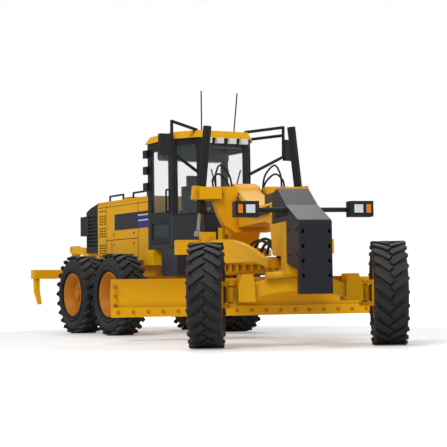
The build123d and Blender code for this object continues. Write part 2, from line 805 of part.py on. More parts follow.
def lift_tilt():
    """Lean of the lift cylinders towards the middle, in degrees."""
    return degrees(atan2(LIFT_STUD[0] - LIFT_TOP[0], LIFT_TOP[1] - LIFT_STUD[1]))


def make_lift_cylinders():
    """Yoke, barrel and rod of both lift cylinders, made upright and then leaned."""
    scale = 1 / cos(radians(lift_tilt()))
    above = (LIFT_TOP[1] - LIFT_TRUNNION_Z) * scale
    below = (LIFT_TRUNNION_Z - LIFT_STUD[1]) * scale
    for word, side in SIDES.items():
        pose = Location(
            (side * lift_axis_x(LIFT_TRUNNION_Z), LIFT_Y, LIFT_TRUNNION_Z),
            (0, -side * lift_tilt(), 0),
        )
        with BuildPart() as yoke:
            Box(5.6, 3.4, 4.0)
            cylinder_along(Plane.XY.offset(-3), BARREL_RADIUS, 6, mode=Mode.SUBTRACT)
            for end in (-1, 1):
                cylinder_along(
                    Plane(origin=(0, end * 1.35, 0), z_dir=(0, end, 0)), 0.6 + PIN_CLEARANCE, 1.0,
                    mode=Mode.SUBTRACT,
                )
        keep(f"lift_yoke_{word}", yoke.part, pose)
        with BuildPart() as barrel:
            cylinder_along(Plane.XY.offset(-BARREL_FOOT), BARREL_RADIUS, BARREL_FOOT + above)
            cylinder_along(
                Plane.XY.offset(-BARREL_FOOT), ROD_RADIUS + PIN_CLEARANCE,
                BARREL_FOOT + above - 1.0, mode=Mode.SUBTRACT,
            )
        keep(f"lift_barrel_{word}", barrel.part, pose)
        with BuildPart() as rod:
            reach = below - 1.0
            cylinder_along(Plane.XY.offset(-reach), ROD_RADIUS, reach + above - 4.0)
            cylinder_along(Plane.XY.offset(-below), 1.1, 1.6)
        keep(f"lift_rod_{word}", rod.part, pose)


# Articulation cylinders


def make_articulation_cylinders():
    """Barrels on the rear frame and rods on the front frame, eyes on upright pins."""
    for word, side in SIDES.items():
        front = Vector(side * STEER_CYLINDER_FRONT[0], STEER_CYLINDER_FRONT[1], 0)
        rear_straight = Location(
            (side * STEER_CYLINDER_REAR[0], STEER_CYLINDER_REAR[1], 0)
        )
        rear = (REAR_POSE * rear_straight).position
        reach = (front - rear).length
        heading = (front - rear).normalized()
        pose = Location(
            Plane(
                origin=(rear.X, rear.Y, STEER_CYLINDER_Z),
                x_dir=(heading.X, heading.Y, 0),
                z_dir=(0, 0, 1),
            )
        )
        with BuildPart() as barrel:
            cylinder_along(Plane.YZ.offset(1.0), 1.3, 18.5)
            cylinder_along(Plane.XY.offset(-1.0), 1.5, 2.0)
            cylinder_along(Plane.YZ.offset(4.0), 0.7, 20, mode=Mode.SUBTRACT)
            cylinder_along(Plane.XY.offset(-2.0), 0.75, 4.0, mode=Mode.SUBTRACT)
        keep(f"articulation_barrel_{word}", barrel.part, pose)
        with BuildPart() as rod:
            cylinder_along(Plane.YZ.offset(reach - STEER_ROD), 0.65, STEER_ROD - 1.0)
            cylinder_along(Plane.XY.offset(-1.0) * Location((reach, 0, 0)), 1.4, 2.0)
            cylinder_along(
                Plane.XY.offset(-2.0) * Location((reach, 0, 0)), 0.75, 4.0, mode=Mode.SUBTRACT
            )
        keep(f"articulation_rod_{word}", rod.part, pose)


# Rear frame


def make_rear_chassis():
    """Rails, hitch lugs, cross members, axle housing and the ripper's bracket."""
    with BuildPart() as chassis:
        for side in (-1, 1):
            box(
                (side * RAIL_X - RAIL_WIDTH / 2, PIVOT_Y + 6.0, RAIL_LOW),
                (side * RAIL_X + RAIL_WIDTH / 2, RAIL_BACK, RAIL_HIGH),
            )
            x, y = STEER_CYLINDER_REAR
            cylinder_along(
                Plane(origin=(side * x, y, RAIL_HIGH)), 0.7, STEER_CYLINDER_Z + 1.2 - RAIL_HIGH
            )
            cylinder_along(
                Plane(origin=(side * x, y, RAIL_HIGH)), 1.5,
                STEER_CYLINDER_Z - 1.0 - GAP - RAIL_HIGH,
            )
            box(
                (side * RAIL_X - RAIL_WIDTH / 2, 101.0, RAIL_HIGH),
                (side * RAIL_X + RAIL_WIDTH / 2, RAIL_BACK, HOOD_LOW),
            )
            for z in (RIPPER_LOW_Z, RIPPER_HIGH_Z):
                cylinder_along(
                    Plane.YZ.offset(side * RIPPER_LINK_X - 1.0) * Location((RIPPER_PIN_Y, z, 0)),
                    1.6, 2.0,
                )
                box(
                    (side * RIPPER_LINK_X - 1.0, RAIL_BACK - 1.0, z - 1.4),
                    (side * RIPPER_LINK_X + 1.0, RIPPER_PIN_Y, z + 1.4),
                )
                rod_between(
                    (side * (RIPPER_LINK_X - 2.4), RIPPER_PIN_Y, z),
                    (side * (RIPPER_LINK_X + 2.4), RIPPER_PIN_Y, z),
                    0.7,
                )
        box((-8.5, PIVOT_Y + 5.0, RAIL_LOW), (8.5, PIVOT_Y + 8.0, RAIL_HIGH))
        box((-4.0, PIVOT_Y + 3.6, HITCH_LOW), (4.0, PIVOT_Y + 6.4, HITCH_HIGH))
        for z in (HITCH_LOW, HITCH_HIGH - HITCH_LUG):
            cylinder_along(Plane(origin=(0, PIVOT_Y, z)), HITCH_BOSS_RADIUS, HITCH_LUG)
            box((-HITCH_BOSS_RADIUS, PIVOT_Y, z), (HITCH_BOSS_RADIUS, PIVOT_Y + 4.0, z + HITCH_LUG))
        cylinder_along(
            Plane(origin=(0, PIVOT_Y, HITCH_LOW + 0.5)), HITCH_PIN_RADIUS, HITCH_HIGH - HITCH_LOW - 1
        )
        box((-8.5, WHEELBASE - 4.0, TYRE_RADIUS), (8.5, WHEELBASE + 4.0, RAIL_LOW + 1.0))
        rod_between(
            (-case_inner(), WHEELBASE, TYRE_RADIUS), (case_inner(), WHEELBASE, TYRE_RADIUS), 3.4
        )
        box((-10.5, 157.5, RAIL_LOW), (10.5, RAIL_BACK, HOOD_LOW + 3.6))
        box((-8.0, RAIL_BACK - 1.5, RIPPER_LOW_Z - 2.0), (8.0, RAIL_BACK, RIPPER_HIGH_Z + 1.6))
        box((-8.5, 101.0, RAIL_LOW), (8.5, 112.0, HOOD_LOW))
        box((-8.5, 101.0, HOOD_LOW), (8.5, 107.0, CAB_FLOOR))
        box((-8.5, 82.6, RAIL_LOW), (8.5, 86.4, RAIL_HIGH))
        box((-3.4, 82.6, RAIL_HIGH), (3.4, 86.4, CAB_FLOOR))
        cylinder_along(
            Plane(origin=(0, 106.0, RAIL_LOW)), DISPLAY_SCREW_RADIUS, DISPLAY_SCREW_DEPTH,
            mode=Mode.SUBTRACT,
        )
    keep("rear_chassis", chassis.part, REAR_POSE)


def case_inner():
    """Half distance between the inner faces of the tandem cases."""
    return REAR_GAUGE / 2 - TYRE_WIDTH / 2 - 1.0 - TANDEM_CASE_WIDTH


def make_tandem_cases():
    """Two walking-beam cases with the stub axles of the rear wheels."""
    stub_end = REAR_GAUGE / 2 + TYRE_WIDTH / 2 * 0.86 - RIM_DISH_DEPTH + 0.4
    with BuildPart() as cases:
        for side in (-1, 1):
            outline = Plane.YZ.offset(side * (case_inner() + TANDEM_CASE_WIDTH / 2))
            with BuildSketch(outline):
                with Locations((WHEELBASE, TYRE_RADIUS)):
                    SlotOverall(TANDEM_SPACING + 2 * TANDEM_CASE_RADIUS, 2 * TANDEM_CASE_RADIUS)
            extrude(amount=TANDEM_CASE_WIDTH / 2, both=True)
            for end in (-0.5, 0.5):
                y = WHEELBASE + end * TANDEM_SPACING
                rod_between(
                    (side * (case_inner() + 1.0), y, TYRE_RADIUS), (side * stub_end, y, TYRE_RADIUS),
                    AXLE_RADIUS,
                )
    keep("tandem_cases", cases.part, REAR_POSE)


def make_hood():
    """Engine hood with its panel sides, dark cover, rear grille and handrails."""
    with BuildPart() as hood:
        plate(
            Plane.YZ,
            [(HOOD_FRONT, HOOD_LOW), (HOOD_BACK, HOOD_LOW), (HOOD_BACK, HOOD_TOP),
             (HOOD_FRONT + 2.4, HOOD_TOP)],
            HOOD_HALF_WIDTH, both=True,
        )
        for side in (-1, 1):
            with BuildSketch(Plane.YZ.offset(side * HOOD_HALF_WIDTH)) as vents:
                for middle, rows in VENT_GROUPS:
                    with Locations((VENT_Y, middle)):
                        with GridLocations(VENT_PITCH, VENT_RISE, 3, rows):
                            Rectangle(VENT_PITCH - 0.5, VENT_RISE - 0.4)
            extrude(vents.sketch, amount=-side * VENT_DEPTH, mode=Mode.SUBTRACT)
    keep("hood", hood.part, REAR_POSE)
    with BuildPart() as cover:
        plate(
            Plane.YZ,
            [(HOOD_FRONT + 2.4, HOOD_TOP), (HOOD_BACK, HOOD_TOP), (HOOD_BACK, HOOD_TOP + COVER_THICK),
             (HOOD_FRONT + 2.6, HOOD_TOP + COVER_THICK)],
            HOOD_HALF_WIDTH - 0.3, both=True,
        )
        box((-11.0, 130.2, HOOD_TOP), (-7.5, 134.8, HOOD_TOP + COVER_THICK + 0.7))
    keep("hood_cover", cover.part, REAR_POSE)
    with BuildPart() as grille:
        plate(
            Plane.YZ,
            [(HOOD_BACK, HOOD_LOW + 3.6), (GRILLE_BACK, HOOD_LOW + 3.6), (GRILLE_BACK, 43.6), (163.0, 44.9),
             (HOOD_BACK, HOOD_TOP + COVER_THICK)],
            HOOD_HALF_WIDTH - 0.5, both=True,
        )
        box((-10.0, GRILLE_BACK, 35.2), (10.0, FAN_BOX_BACK, 42.4))
        for side in (-1, 1):
            with BuildSketch(Plane.YZ.offset(side * (HOOD_HALF_WIDTH - 0.5))) as louvres:
                with Locations(((HOOD_BACK + GRILLE_BACK) / 2, 36.4)):
                    with GridLocations(1, LOUVRE_RISE, 1, LOUVRES):
                        Rectangle(GRILLE_BACK - HOOD_BACK - 3.0, LOUVRE_RISE / 2)
            extrude(louvres.sketch, amount=-side * 0.6, mode=Mode.SUBTRACT)
        with BuildSketch(Plane.XZ.offset(-FAN_BOX_BACK)) as bars:
            with Locations((0, 38.8)):
                with GridLocations(2.1, 1, 9, 1):
                    Rectangle(1.2, 5.8)
        extrude(bars.sketch, amount=0.8, mode=Mode.SUBTRACT)
    keep("rear_grille", grille.part, REAR_POSE)
    with BuildPart() as rails:
        for y in (117.2, 136.5):
            for start, end in (
                ((y, HOOD_TOP + COVER_THICK), (y, 48.4)),
                ((y, 48.4), (y + 11.2, 48.4)),
                ((y + 11.2, 48.4), (y + 11.2, HOOD_TOP + COVER_THICK)),
            ):
                rod_between((-10.4, start[0], start[1]), (-10.4, end[0], end[1]), 0.35)
            for corner in (y, y + 11.2):
                with Locations((-10.4, corner, 48.4)):
                    Sphere(0.35)
    keep("hood_rails", rails.part, REAR_POSE)


# Cab


def cab_outline(z, inset=0.0):
    """Corners of the six-sided cab at a height, moved in by an inset."""
    share = (z - CAB_FLOOR) / (CAB_HEAD - CAB_FLOOR)
    nose = CAB_NOSE_LOW + share * (CAB_NOSE_HIGH - CAB_NOSE_LOW)
    side = CAB_HALF_WIDTH - inset
    front = CAB_FRONT + inset
    corner = hypot(CAB_HALF_WIDTH - nose, CAB_MIDDLE - CAB_FRONT)
    lean = (CAB_HALF_WIDTH - nose) / (CAB_MIDDLE - CAB_FRONT)
    turn = inset * corner / (CAB_MIDDLE - CAB_FRONT)
    nose_in = nose - turn + inset * lean
    middle = CAB_MIDDLE + (turn - inset) / lean
    back = CAB_BACK - inset
    return [
        (-nose_in, front), (nose_in, front), (side, middle), (side, back), (-side, back),
        (-side, middle),
    ]


def cab_block(low, high, inset, mode=Mode.ADD):
    """A six-sided block of the cab between two heights, in the current part."""
    ends = []
    for z in (low, high):
        with BuildSketch(Plane.XY.offset(z)) as section:
            with BuildLine():
                Polyline(*cab_outline(z, inset), close=True)
            make_face()
        ends.append(section.sketch.face())
    loft(ends, ruled=True, mode=mode)


def side_cutter(start, end, low, high, margin, mode):
    """A prism through one side of the cab, leaving posts of a width at its ends."""
    along = Vector(end[0] - start[0], end[1] - start[1], 0)
    middle = Vector((start[0] + end[0]) / 2, (start[1] + end[1]) / 2, (low + high) / 2)
    face = Plane(origin=middle, x_dir=along.normalized(), z_dir=along.cross(Vector(0, 0, 1)))
    with BuildSketch(face) as opening:
        Rectangle(along.length - 2 * margin, high - low)
    extrude(opening.sketch, amount=2.4, both=True, mode=mode)


def window_sides():
    """End points of the cab's glazed sides at mid height: front, angled sides and back."""
    corners = cab_outline((CAB_SILL + CAB_HEAD) / 2)
    return [
        (corners[0], corners[1]), (corners[1], corners[2]), (corners[5], corners[0]),
        (corners[3], corners[4]),
    ]


def door_sides():
    """End points of the two door sides."""
    corners = cab_outline(CAB_SILL)
    return [(corners[2], corners[3]), (corners[4], corners[5])]


def make_roof_shape():
    """The six-sided roof, sloped at its edges, in the rear frame's own axes."""
    with BuildPart() as roof:
        ends = []
        for z, inset in ((CAB_HEAD, -ROOF_OVERHANG), (CAB_HEAD + ROOF_THICK, ROOF_OVERHANG)):
            with BuildSketch(Plane.XY.offset(z)) as section:
                with BuildLine():
                    Polyline(*cab_outline(CAB_HEAD, inset), close=True)
                make_face()
            ends.append(section.sketch.face())
        loft(ends, ruled=True)
    return roof.part


def make_cab():
    """Six-sided cab: base, posts, doors, panes, roof and lamps."""
    window_low = CAB_SILL + 0.6
    window_high = CAB_HEAD - 2.0
    with BuildPart() as base:
        cab_block(CAB_FLOOR, CAB_SILL, 0)
        cab_block(CAB_FLOOR + 1.0, CAB_SILL, CAB_WALL, mode=Mode.SUBTRACT)
        for start, end in door_sides():
            side_cutter(start, end, CAB_FLOOR + 1.6, CAB_SILL + 4, POST_WIDTH, Mode.SUBTRACT)
    keep("cab_base", base.part, REAR_POSE)
    with BuildPart() as frame:
        cab_block(CAB_SILL, CAB_HEAD, 0)
        cab_block(CAB_SILL, CAB_HEAD, CAB_WALL, mode=Mode.SUBTRACT)
        for start, end in window_sides():
            side_cutter(start, end, window_low, window_high, POST_WIDTH, Mode.SUBTRACT)
        for start, end in door_sides():
            side_cutter(start, end, CAB_SILL - 3, window_high, POST_WIDTH, Mode.SUBTRACT)
        for side in (-1, 1):
            for z in (47.6, 53.0, 58.4):
                low_x, high_x = sorted((side * (CAB_HALF_WIDTH - 0.4), side * (CAB_HALF_WIDTH + 1.1)))
                box((low_x, CAB_BACK - 1.3, z), (high_x, CAB_BACK + 1.4, z + 2.6))
    keep("cab_frame", frame.part, REAR_POSE)
    with BuildPart() as doors:
        for start, end in door_sides():
            along = 1 if end[1] > start[1] else -1
            side = 1 if start[0] > 0 else -1
            low_y = CAB_MIDDLE + POST_WIDTH + WALL_GAP
            high_y = CAB_BACK - POST_WIDTH - WALL_GAP
            outer = side * CAB_HALF_WIDTH
            inner = side * (CAB_HALF_WIDTH - CAB_WALL)
            box(
                (min(outer, inner), low_y, CAB_FLOOR + 1.6 + WALL_GAP),
                (max(outer, inner), high_y, window_high - WALL_GAP),
            )
    with BuildPart() as door_holes:
        for side in (-1, 1):
            with Locations(
                (side * CAB_HALF_WIDTH, (CAB_MIDDLE + CAB_BACK) / 2, (window_low + window_high) / 2)
            ):
                Box(6, CAB_BACK - CAB_MIDDLE - 2 * POST_WIDTH - 2.4, window_high - window_low - 1.8)
            with Locations((side * CAB_HALF_WIDTH, (CAB_MIDDLE + CAB_BACK) / 2, 34.0)):
                Box(6, CAB_BACK - CAB_MIDDLE - 2 * POST_WIDTH - 2.4, 5.0)
    keep("cab_doors", doors.part - door_holes.part, REAR_POSE)
    with BuildPart() as panes:
        cab_block(CAB_SILL, CAB_HEAD, (CAB_WALL - GLASS_THICK) / 2)
        cab_block(CAB_SILL, CAB_HEAD, (CAB_WALL + GLASS_THICK) / 2, mode=Mode.SUBTRACT)
    with BuildPart() as openings:
        for start, end in window_sides():
            side_cutter(start, end, window_low, window_high, POST_WIDTH, Mode.ADD)
    with BuildPart() as door_panes:
        for side in (-1, 1):
            for z_middle, height in (
                ((window_low + window_high) / 2, window_high - window_low - 1.8), (34.0, 5.0)
            ):
                with Locations(
                    (side * (CAB_HALF_WIDTH - CAB_WALL / 2), (CAB_MIDDLE + CAB_BACK) / 2, z_middle)
                ):
                    Box(GLASS_THICK, CAB_BACK - CAB_MIDDLE - 2 * POST_WIDTH - 2.4, height)
    glass = Compound(children=[*(panes.part & openings.part).solids(), *door_panes.part.solids()])
    keep("cab_glass", glass, REAR_POSE)
    keep("cab_roof", make_roof_shape(), REAR_POSE)
    with BuildPart() as lamps:
        for x in (-6.6, -2.3, 2.3, 6.6):
            box((x - 1.2, CAB_FRONT - 1.7, 61.2), (x + 1.2, CAB_FRONT, 63.0))
    keep("roof_lamps", lamps.part, REAR_POSE)


def make_cab_interior():
    """Seat and steering console."""
    floor = CAB_FLOOR + 1.0
    with BuildPart() as seat:
        box((-2.5, 97.5, floor), (2.5, 103.0, 34.5))
        box((-3.9, 95.5, 34.5), (3.9, 104.0, 37.0))
        box((-4.1, 102.2, 37.0), (4.1, 104.8, 49.0))
        box((-2.4, 102.6, 49.0), (2.4, 104.4, 52.6))
        for side in (-1, 1):
            box(
                (side * 4.8 - 0.8, 97.4, 39.6), (side * 4.8 + 0.8, 103.6, 41.0)
            )
            box((side * 4.8 - 0.8, 102.2, 36.0), (side * 4.8 + 0.8, 103.6, 39.6))
            box((min(side * 3.6, side * 5.6), 101.8, 36.0), (max(side * 3.6, side * 5.6), 103.8, 37.4))
    keep("seat", seat.part, REAR_POSE)
    with BuildPart() as console:
        rod_between((0, 90.0, floor), (0, 90.0, 43.0), 1.1)
        box((-2.8, 88.6, 43.0), (2.8, 91.4, 46.6))
        box((-5.6, 88.6, 41.4), (5.6, 91.0, 43.2))
    keep("console", console.part, REAR_POSE)


def make_mirror_arms():
    """Tube brackets at the cab's front corners with the mirrors on them."""
    with BuildPart() as arms:
        for side in (-1, 1):
            top = (side * 20.4, 79.6, 67.2)
            low = (side * 20.4, 79.8, 57.6)
            rod_between((side * 8.8, 84.8, CAB_HEAD + ROOF_THICK + 0.2), top, 0.5)
            rod_between(top, low, 0.5)
            rod_between((side * 14.6, 91.0, 64.2), (side * 20.4, 79.7, 64.6), 0.5)
            rod_between((side * 9.0, 82.9, 51.6), low, 0.5)
            for point in (top, low):
                with Locations(point):
                    Sphere(0.5)
            box(
                (min(side * 20.8, side * 24.6), 79.2, 56.4),
                (max(side * 20.8, side * 24.6), 80.8, 63.2),
            )
        add(make_roof_shape(), mode=Mode.SUBTRACT)
        cab_block(CAB_SILL, CAB_HEAD, 0, mode=Mode.SUBTRACT)
    keep("mirror_arms", arms.part, REAR_POSE)


def make_side_steps():
    """Tank and step boxes beside the rails, and the toolbox at the hood's foot."""
    with BuildPart() as steps:
        for side in (-1, 1):
            near, far = side * 10.4, side * 16.4
            box((min(near, far), 84.6, 19.2), (max(near, far), 95.4, CAB_FLOOR))
            rail = side * (RAIL_X + RAIL_WIDTH / 2)
            box((min(rail, near), 87.0, 20.4), (max(rail, near), 93.0, 23.4))
    keep("side_steps", steps.part, REAR_POSE)
    with BuildPart() as boxes:
        for side in (-1, 1):
            near, far = side * 10.6, side * 15.4
            box((min(near, far), 103.4, 23.0), (max(near, far), 110.6, CAB_FLOOR))
    keep("tool_boxes", boxes.part, REAR_POSE)


# Ripper


def ripper_mast_pins():
    """Places of the lower and upper pins on the ripper's beam."""
    return [
        (RIPPER_PIN_Y + RIPPER_LINK, RIPPER_LOW_Z + RIPPER_LINK_RISE),
        (RIPPER_PIN_Y + RIPPER_LINK, RIPPER_HIGH_Z + RIPPER_LINK_RISE),
    ]


def make_ripper():
    """Two pairs of links and the beam with its shanks."""
    for name, z0, pin in (
        ("ripper_link_lower", RIPPER_LOW_Z, ripper_mast_pins()[0]),
        ("ripper_link_upper", RIPPER_HIGH_Z, ripper_mast_pins()[1]),
    ):
        with BuildPart() as link:
            for side in (-1, 1):
                x = side * (RIPPER_LINK_X + 1.0 + GAP) - (0 if side > 0 else 1.0)
                along = Vector(0, pin[0] - RIPPER_PIN_Y, pin[1] - z0)
                plate_plane = Plane(
                    origin=(x, (RIPPER_PIN_Y + pin[0]) / 2, (z0 + pin[1]) / 2),
                    x_dir=along.normalized(), z_dir=(1, 0, 0),
                )
                with BuildSketch(plate_plane):
                    SlotCenterToCenter(along.length, 2.8)
                    with Locations((along.length / 2, 0), (-along.length / 2, 0)):
                        Circle(0.7 + PIN_CLEARANCE, mode=Mode.SUBTRACT)
                extrude(amount=1.0)
            rod_between(
                (-RIPPER_LINK_X - 1.4, (RIPPER_PIN_Y + pin[0]) / 2, (z0 + pin[1]) / 2),
                (RIPPER_LINK_X + 1.4, (RIPPER_PIN_Y + pin[0]) / 2, (z0 + pin[1]) / 2),
                0.8,
            )
        keep(name, link.part, REAR_POSE)
    (low_y, low_z), (high_y, high_z) = ripper_mast_pins()
    with BuildPart() as beam:
        box(
            (-RIPPER_HALF_WIDTH, low_y + 1.4, low_z - 1.0),
            (RIPPER_HALF_WIDTH, low_y + 1.4 + RIPPER_BEAM_DEPTH, low_z - 1.0 + RIPPER_BEAM_HEIGHT),
        )
        for side in (-1, 1):
            x = side * RIPPER_LINK_X
            box((x - 1.0, low_y - 1.4, low_z - 1.4), (x + 1.0, low_y + 2.6, high_z + 1.4))
            for z in (low_z, high_z):
                rod_between((x - 2.4, low_y, z), (x + 2.4, low_y, z), 0.7)
        for x in (-SHANK_X, 0, SHANK_X):
            middle_y = low_y + 1.4 + RIPPER_BEAM_DEPTH / 2
            with BuildSketch(Plane.YZ.offset(x - 0.8)):
                with BuildLine():
                    Polyline(
                        (middle_y - 1.3, low_z - 0.8), (middle_y + 1.3, low_z - 0.8),
                        (middle_y + 0.9, low_z - 6.0), (middle_y - 2.6, SHANK_TIP_Z),
                        (middle_y - 3.6, SHANK_TIP_Z + 0.4), (middle_y - 1.4, low_z - 5.6),
                        close=True,
                    )
                make_face()
            extrude(amount=1.6)
    keep("ripper_beam", beam.part, REAR_POSE)


def make_antennas():
    """Two whip antennas on the cab's roof."""
    with BuildPart() as antennas:
        for x, y, lean in ((-3.1, 92.0, 0.0), (8.9, 92.0, 1.5)):
            rod_between((x, y, CAB_HEAD + ROOF_THICK), (x + lean, y, 79.4), 0.22)
    keep("antennas", antennas.part, REAR_POSE)


def export_all():
    """Put the origin under the middle of the model and write one file per piece."""
    bounds = Compound(children=[Compound(piece.wrapped) for piece in pieces.values()]).bounding_box()
    middle = bounds.center()
    home = Location((-middle.X, -middle.Y, -bounds.min.Z))
    os.makedirs("parts", exist_ok=True)
    for label, piece in pieces.items():
        placed = home * piece
        placed.label = label
        export_step(placed, f"parts/{label}.step")


make_wheels()
make_front_frame()
make_nose_cover()
make_headlamps()
make_valve_block()
make_lift_saddle()
make_front_axle()
make_lean_bar()
make_yokes()
make_knuckles()
make_drawbar_ball()
make_drawbar()
make_circle()
make_moldboard()
make_blade_carrier()
make_lift_cylinders()
make_articulation_cylinders()
make_rear_chassis()
make_tandem_cases()
make_hood()
make_cab()
make_cab_interior()
make_mirror_arms()
make_side_steps()
make_ripper()
make_antennas()
export_all()
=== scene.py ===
"""Looks of the scale model motor grader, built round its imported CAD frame.

Lengths are metres in the frame's axes. Details are given in the machine's own millimetres,
forward along -Y with the front axle at Y = 0, and are carried over by a FrameMap.
"""

import logging
import math
from dataclasses import dataclass, field
from enum import Enum

import bpy
from mathutils import Matrix, Vector
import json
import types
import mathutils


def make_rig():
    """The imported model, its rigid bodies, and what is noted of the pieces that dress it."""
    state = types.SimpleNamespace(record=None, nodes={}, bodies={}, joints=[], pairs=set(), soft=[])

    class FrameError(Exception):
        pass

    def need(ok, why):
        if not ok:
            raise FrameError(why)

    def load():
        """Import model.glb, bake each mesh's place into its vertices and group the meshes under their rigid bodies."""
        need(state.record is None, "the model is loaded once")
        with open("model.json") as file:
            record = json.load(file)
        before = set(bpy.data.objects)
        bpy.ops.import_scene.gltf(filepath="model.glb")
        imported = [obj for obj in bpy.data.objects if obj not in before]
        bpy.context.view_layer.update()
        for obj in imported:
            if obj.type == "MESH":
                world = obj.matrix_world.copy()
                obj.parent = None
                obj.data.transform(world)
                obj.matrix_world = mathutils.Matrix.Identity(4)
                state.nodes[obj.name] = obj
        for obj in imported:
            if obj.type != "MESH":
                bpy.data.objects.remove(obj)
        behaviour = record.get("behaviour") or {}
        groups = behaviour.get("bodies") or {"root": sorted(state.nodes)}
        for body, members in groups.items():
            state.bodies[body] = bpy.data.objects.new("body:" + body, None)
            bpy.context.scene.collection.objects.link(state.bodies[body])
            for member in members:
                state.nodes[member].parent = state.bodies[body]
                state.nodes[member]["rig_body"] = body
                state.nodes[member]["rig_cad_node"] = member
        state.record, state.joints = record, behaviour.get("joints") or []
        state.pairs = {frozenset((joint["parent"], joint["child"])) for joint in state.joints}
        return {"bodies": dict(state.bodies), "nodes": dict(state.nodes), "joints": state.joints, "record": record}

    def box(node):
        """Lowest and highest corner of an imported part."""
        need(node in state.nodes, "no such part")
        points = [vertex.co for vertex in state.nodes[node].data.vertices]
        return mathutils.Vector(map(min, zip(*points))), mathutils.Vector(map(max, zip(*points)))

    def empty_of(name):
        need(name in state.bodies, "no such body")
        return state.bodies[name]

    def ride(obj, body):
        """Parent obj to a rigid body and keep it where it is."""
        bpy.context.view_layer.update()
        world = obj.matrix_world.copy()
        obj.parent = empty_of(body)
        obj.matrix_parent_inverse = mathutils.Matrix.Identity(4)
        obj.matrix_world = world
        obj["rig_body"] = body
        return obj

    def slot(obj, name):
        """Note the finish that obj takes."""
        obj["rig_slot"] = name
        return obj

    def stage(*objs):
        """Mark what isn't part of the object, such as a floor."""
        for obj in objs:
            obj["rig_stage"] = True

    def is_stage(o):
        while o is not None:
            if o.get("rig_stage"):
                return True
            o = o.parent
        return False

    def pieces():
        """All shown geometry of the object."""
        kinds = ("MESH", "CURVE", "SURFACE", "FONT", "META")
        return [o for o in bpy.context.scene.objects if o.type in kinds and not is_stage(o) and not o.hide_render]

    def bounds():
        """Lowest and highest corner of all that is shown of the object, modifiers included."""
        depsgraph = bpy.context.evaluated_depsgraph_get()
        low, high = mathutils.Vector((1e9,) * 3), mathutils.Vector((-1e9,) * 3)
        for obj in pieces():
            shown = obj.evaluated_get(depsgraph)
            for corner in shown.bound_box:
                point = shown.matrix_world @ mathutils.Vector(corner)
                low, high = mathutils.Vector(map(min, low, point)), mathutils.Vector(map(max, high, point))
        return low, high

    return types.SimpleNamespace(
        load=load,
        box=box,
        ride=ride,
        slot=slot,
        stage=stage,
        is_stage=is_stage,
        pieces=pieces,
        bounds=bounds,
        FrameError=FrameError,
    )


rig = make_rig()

LOG = logging.getLogger("grader")
MM = 0.001
SIZE_FILE = "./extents.json"
HOSE_STEPS = 6

# The machine's stance in degrees about +Z, and places along Y in its own millimetres
ARTICULATION = 18.5
STEER = -13.9
PIVOT_Y = 73.9
BALL_Y = 2.0

# Sides of the machine along X
SIDES = (-1, 1)

# Linear colours
YELLOW = (0.92, 0.46, 0.002)
RIM_YELLOW = (0.54, 0.19, 0.003)
BLACK = (0.018, 0.019, 0.022)
DARK_GREY = (0.036, 0.039, 0.047)
VIOLET = (0.045, 0.03, 0.26)
WHITE = (0.8, 0.8, 0.8)
FULL_WHITE = (1.0, 1.0, 1.0, 1.0)


class Half(Enum):
    """The half of the articulated machine whose axes a detail is given in."""

    FRONT = "front"
    REAR = "rear"


@dataclass
class FrameMap:
    """Carries the machine's own millimetres into the frame's metres."""

    home: Vector = field(default_factory=lambda: Vector((0.0, 0.0, 0.0)))

    def locate(self) -> None:
        """Find the machine's origin from the drawbar's upright pin."""
        low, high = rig.box("drawbar_ball")
        middle = (Vector(low) + Vector(high)) / 2
        self.home = Vector((middle.x, middle.y - BALL_Y * MM, 0.0))

    def point(self, at: tuple[float, float, float], half: Half = Half.FRONT) -> Vector:
        """Place one point.

        Args:
            at: the point in the machine's millimetres.
            half: whose axes it is given in.

        Returns:
            The point in the frame's metres.
        """
        spot = Vector(at)
        if half is Half.REAR:
            turn = Matrix.Rotation(math.radians(ARTICULATION), 4, "Z")
            pivot = Vector((0.0, PIVOT_Y, 0.0))
            spot = turn @ (spot - pivot) + pivot
        return spot * MM + self.home


MAP = FrameMap()


def socket(group: bpy.types.NodeTree, name: str, out: bool, kind: str, value: float = 0.0) -> None:
    """Add one named socket to a node group.

    Args:
        group: the group to extend.
        name: the socket's name.
        out: True for an output.
        kind: the socket's type name.
        value: its default, where it has one.
    """
    made = group.interface.new_socket(
        name=name, in_out="OUTPUT" if out else "INPUT", socket_type=kind
    )
    if not out and kind == "NodeSocketFloat":
        made.default_value = value


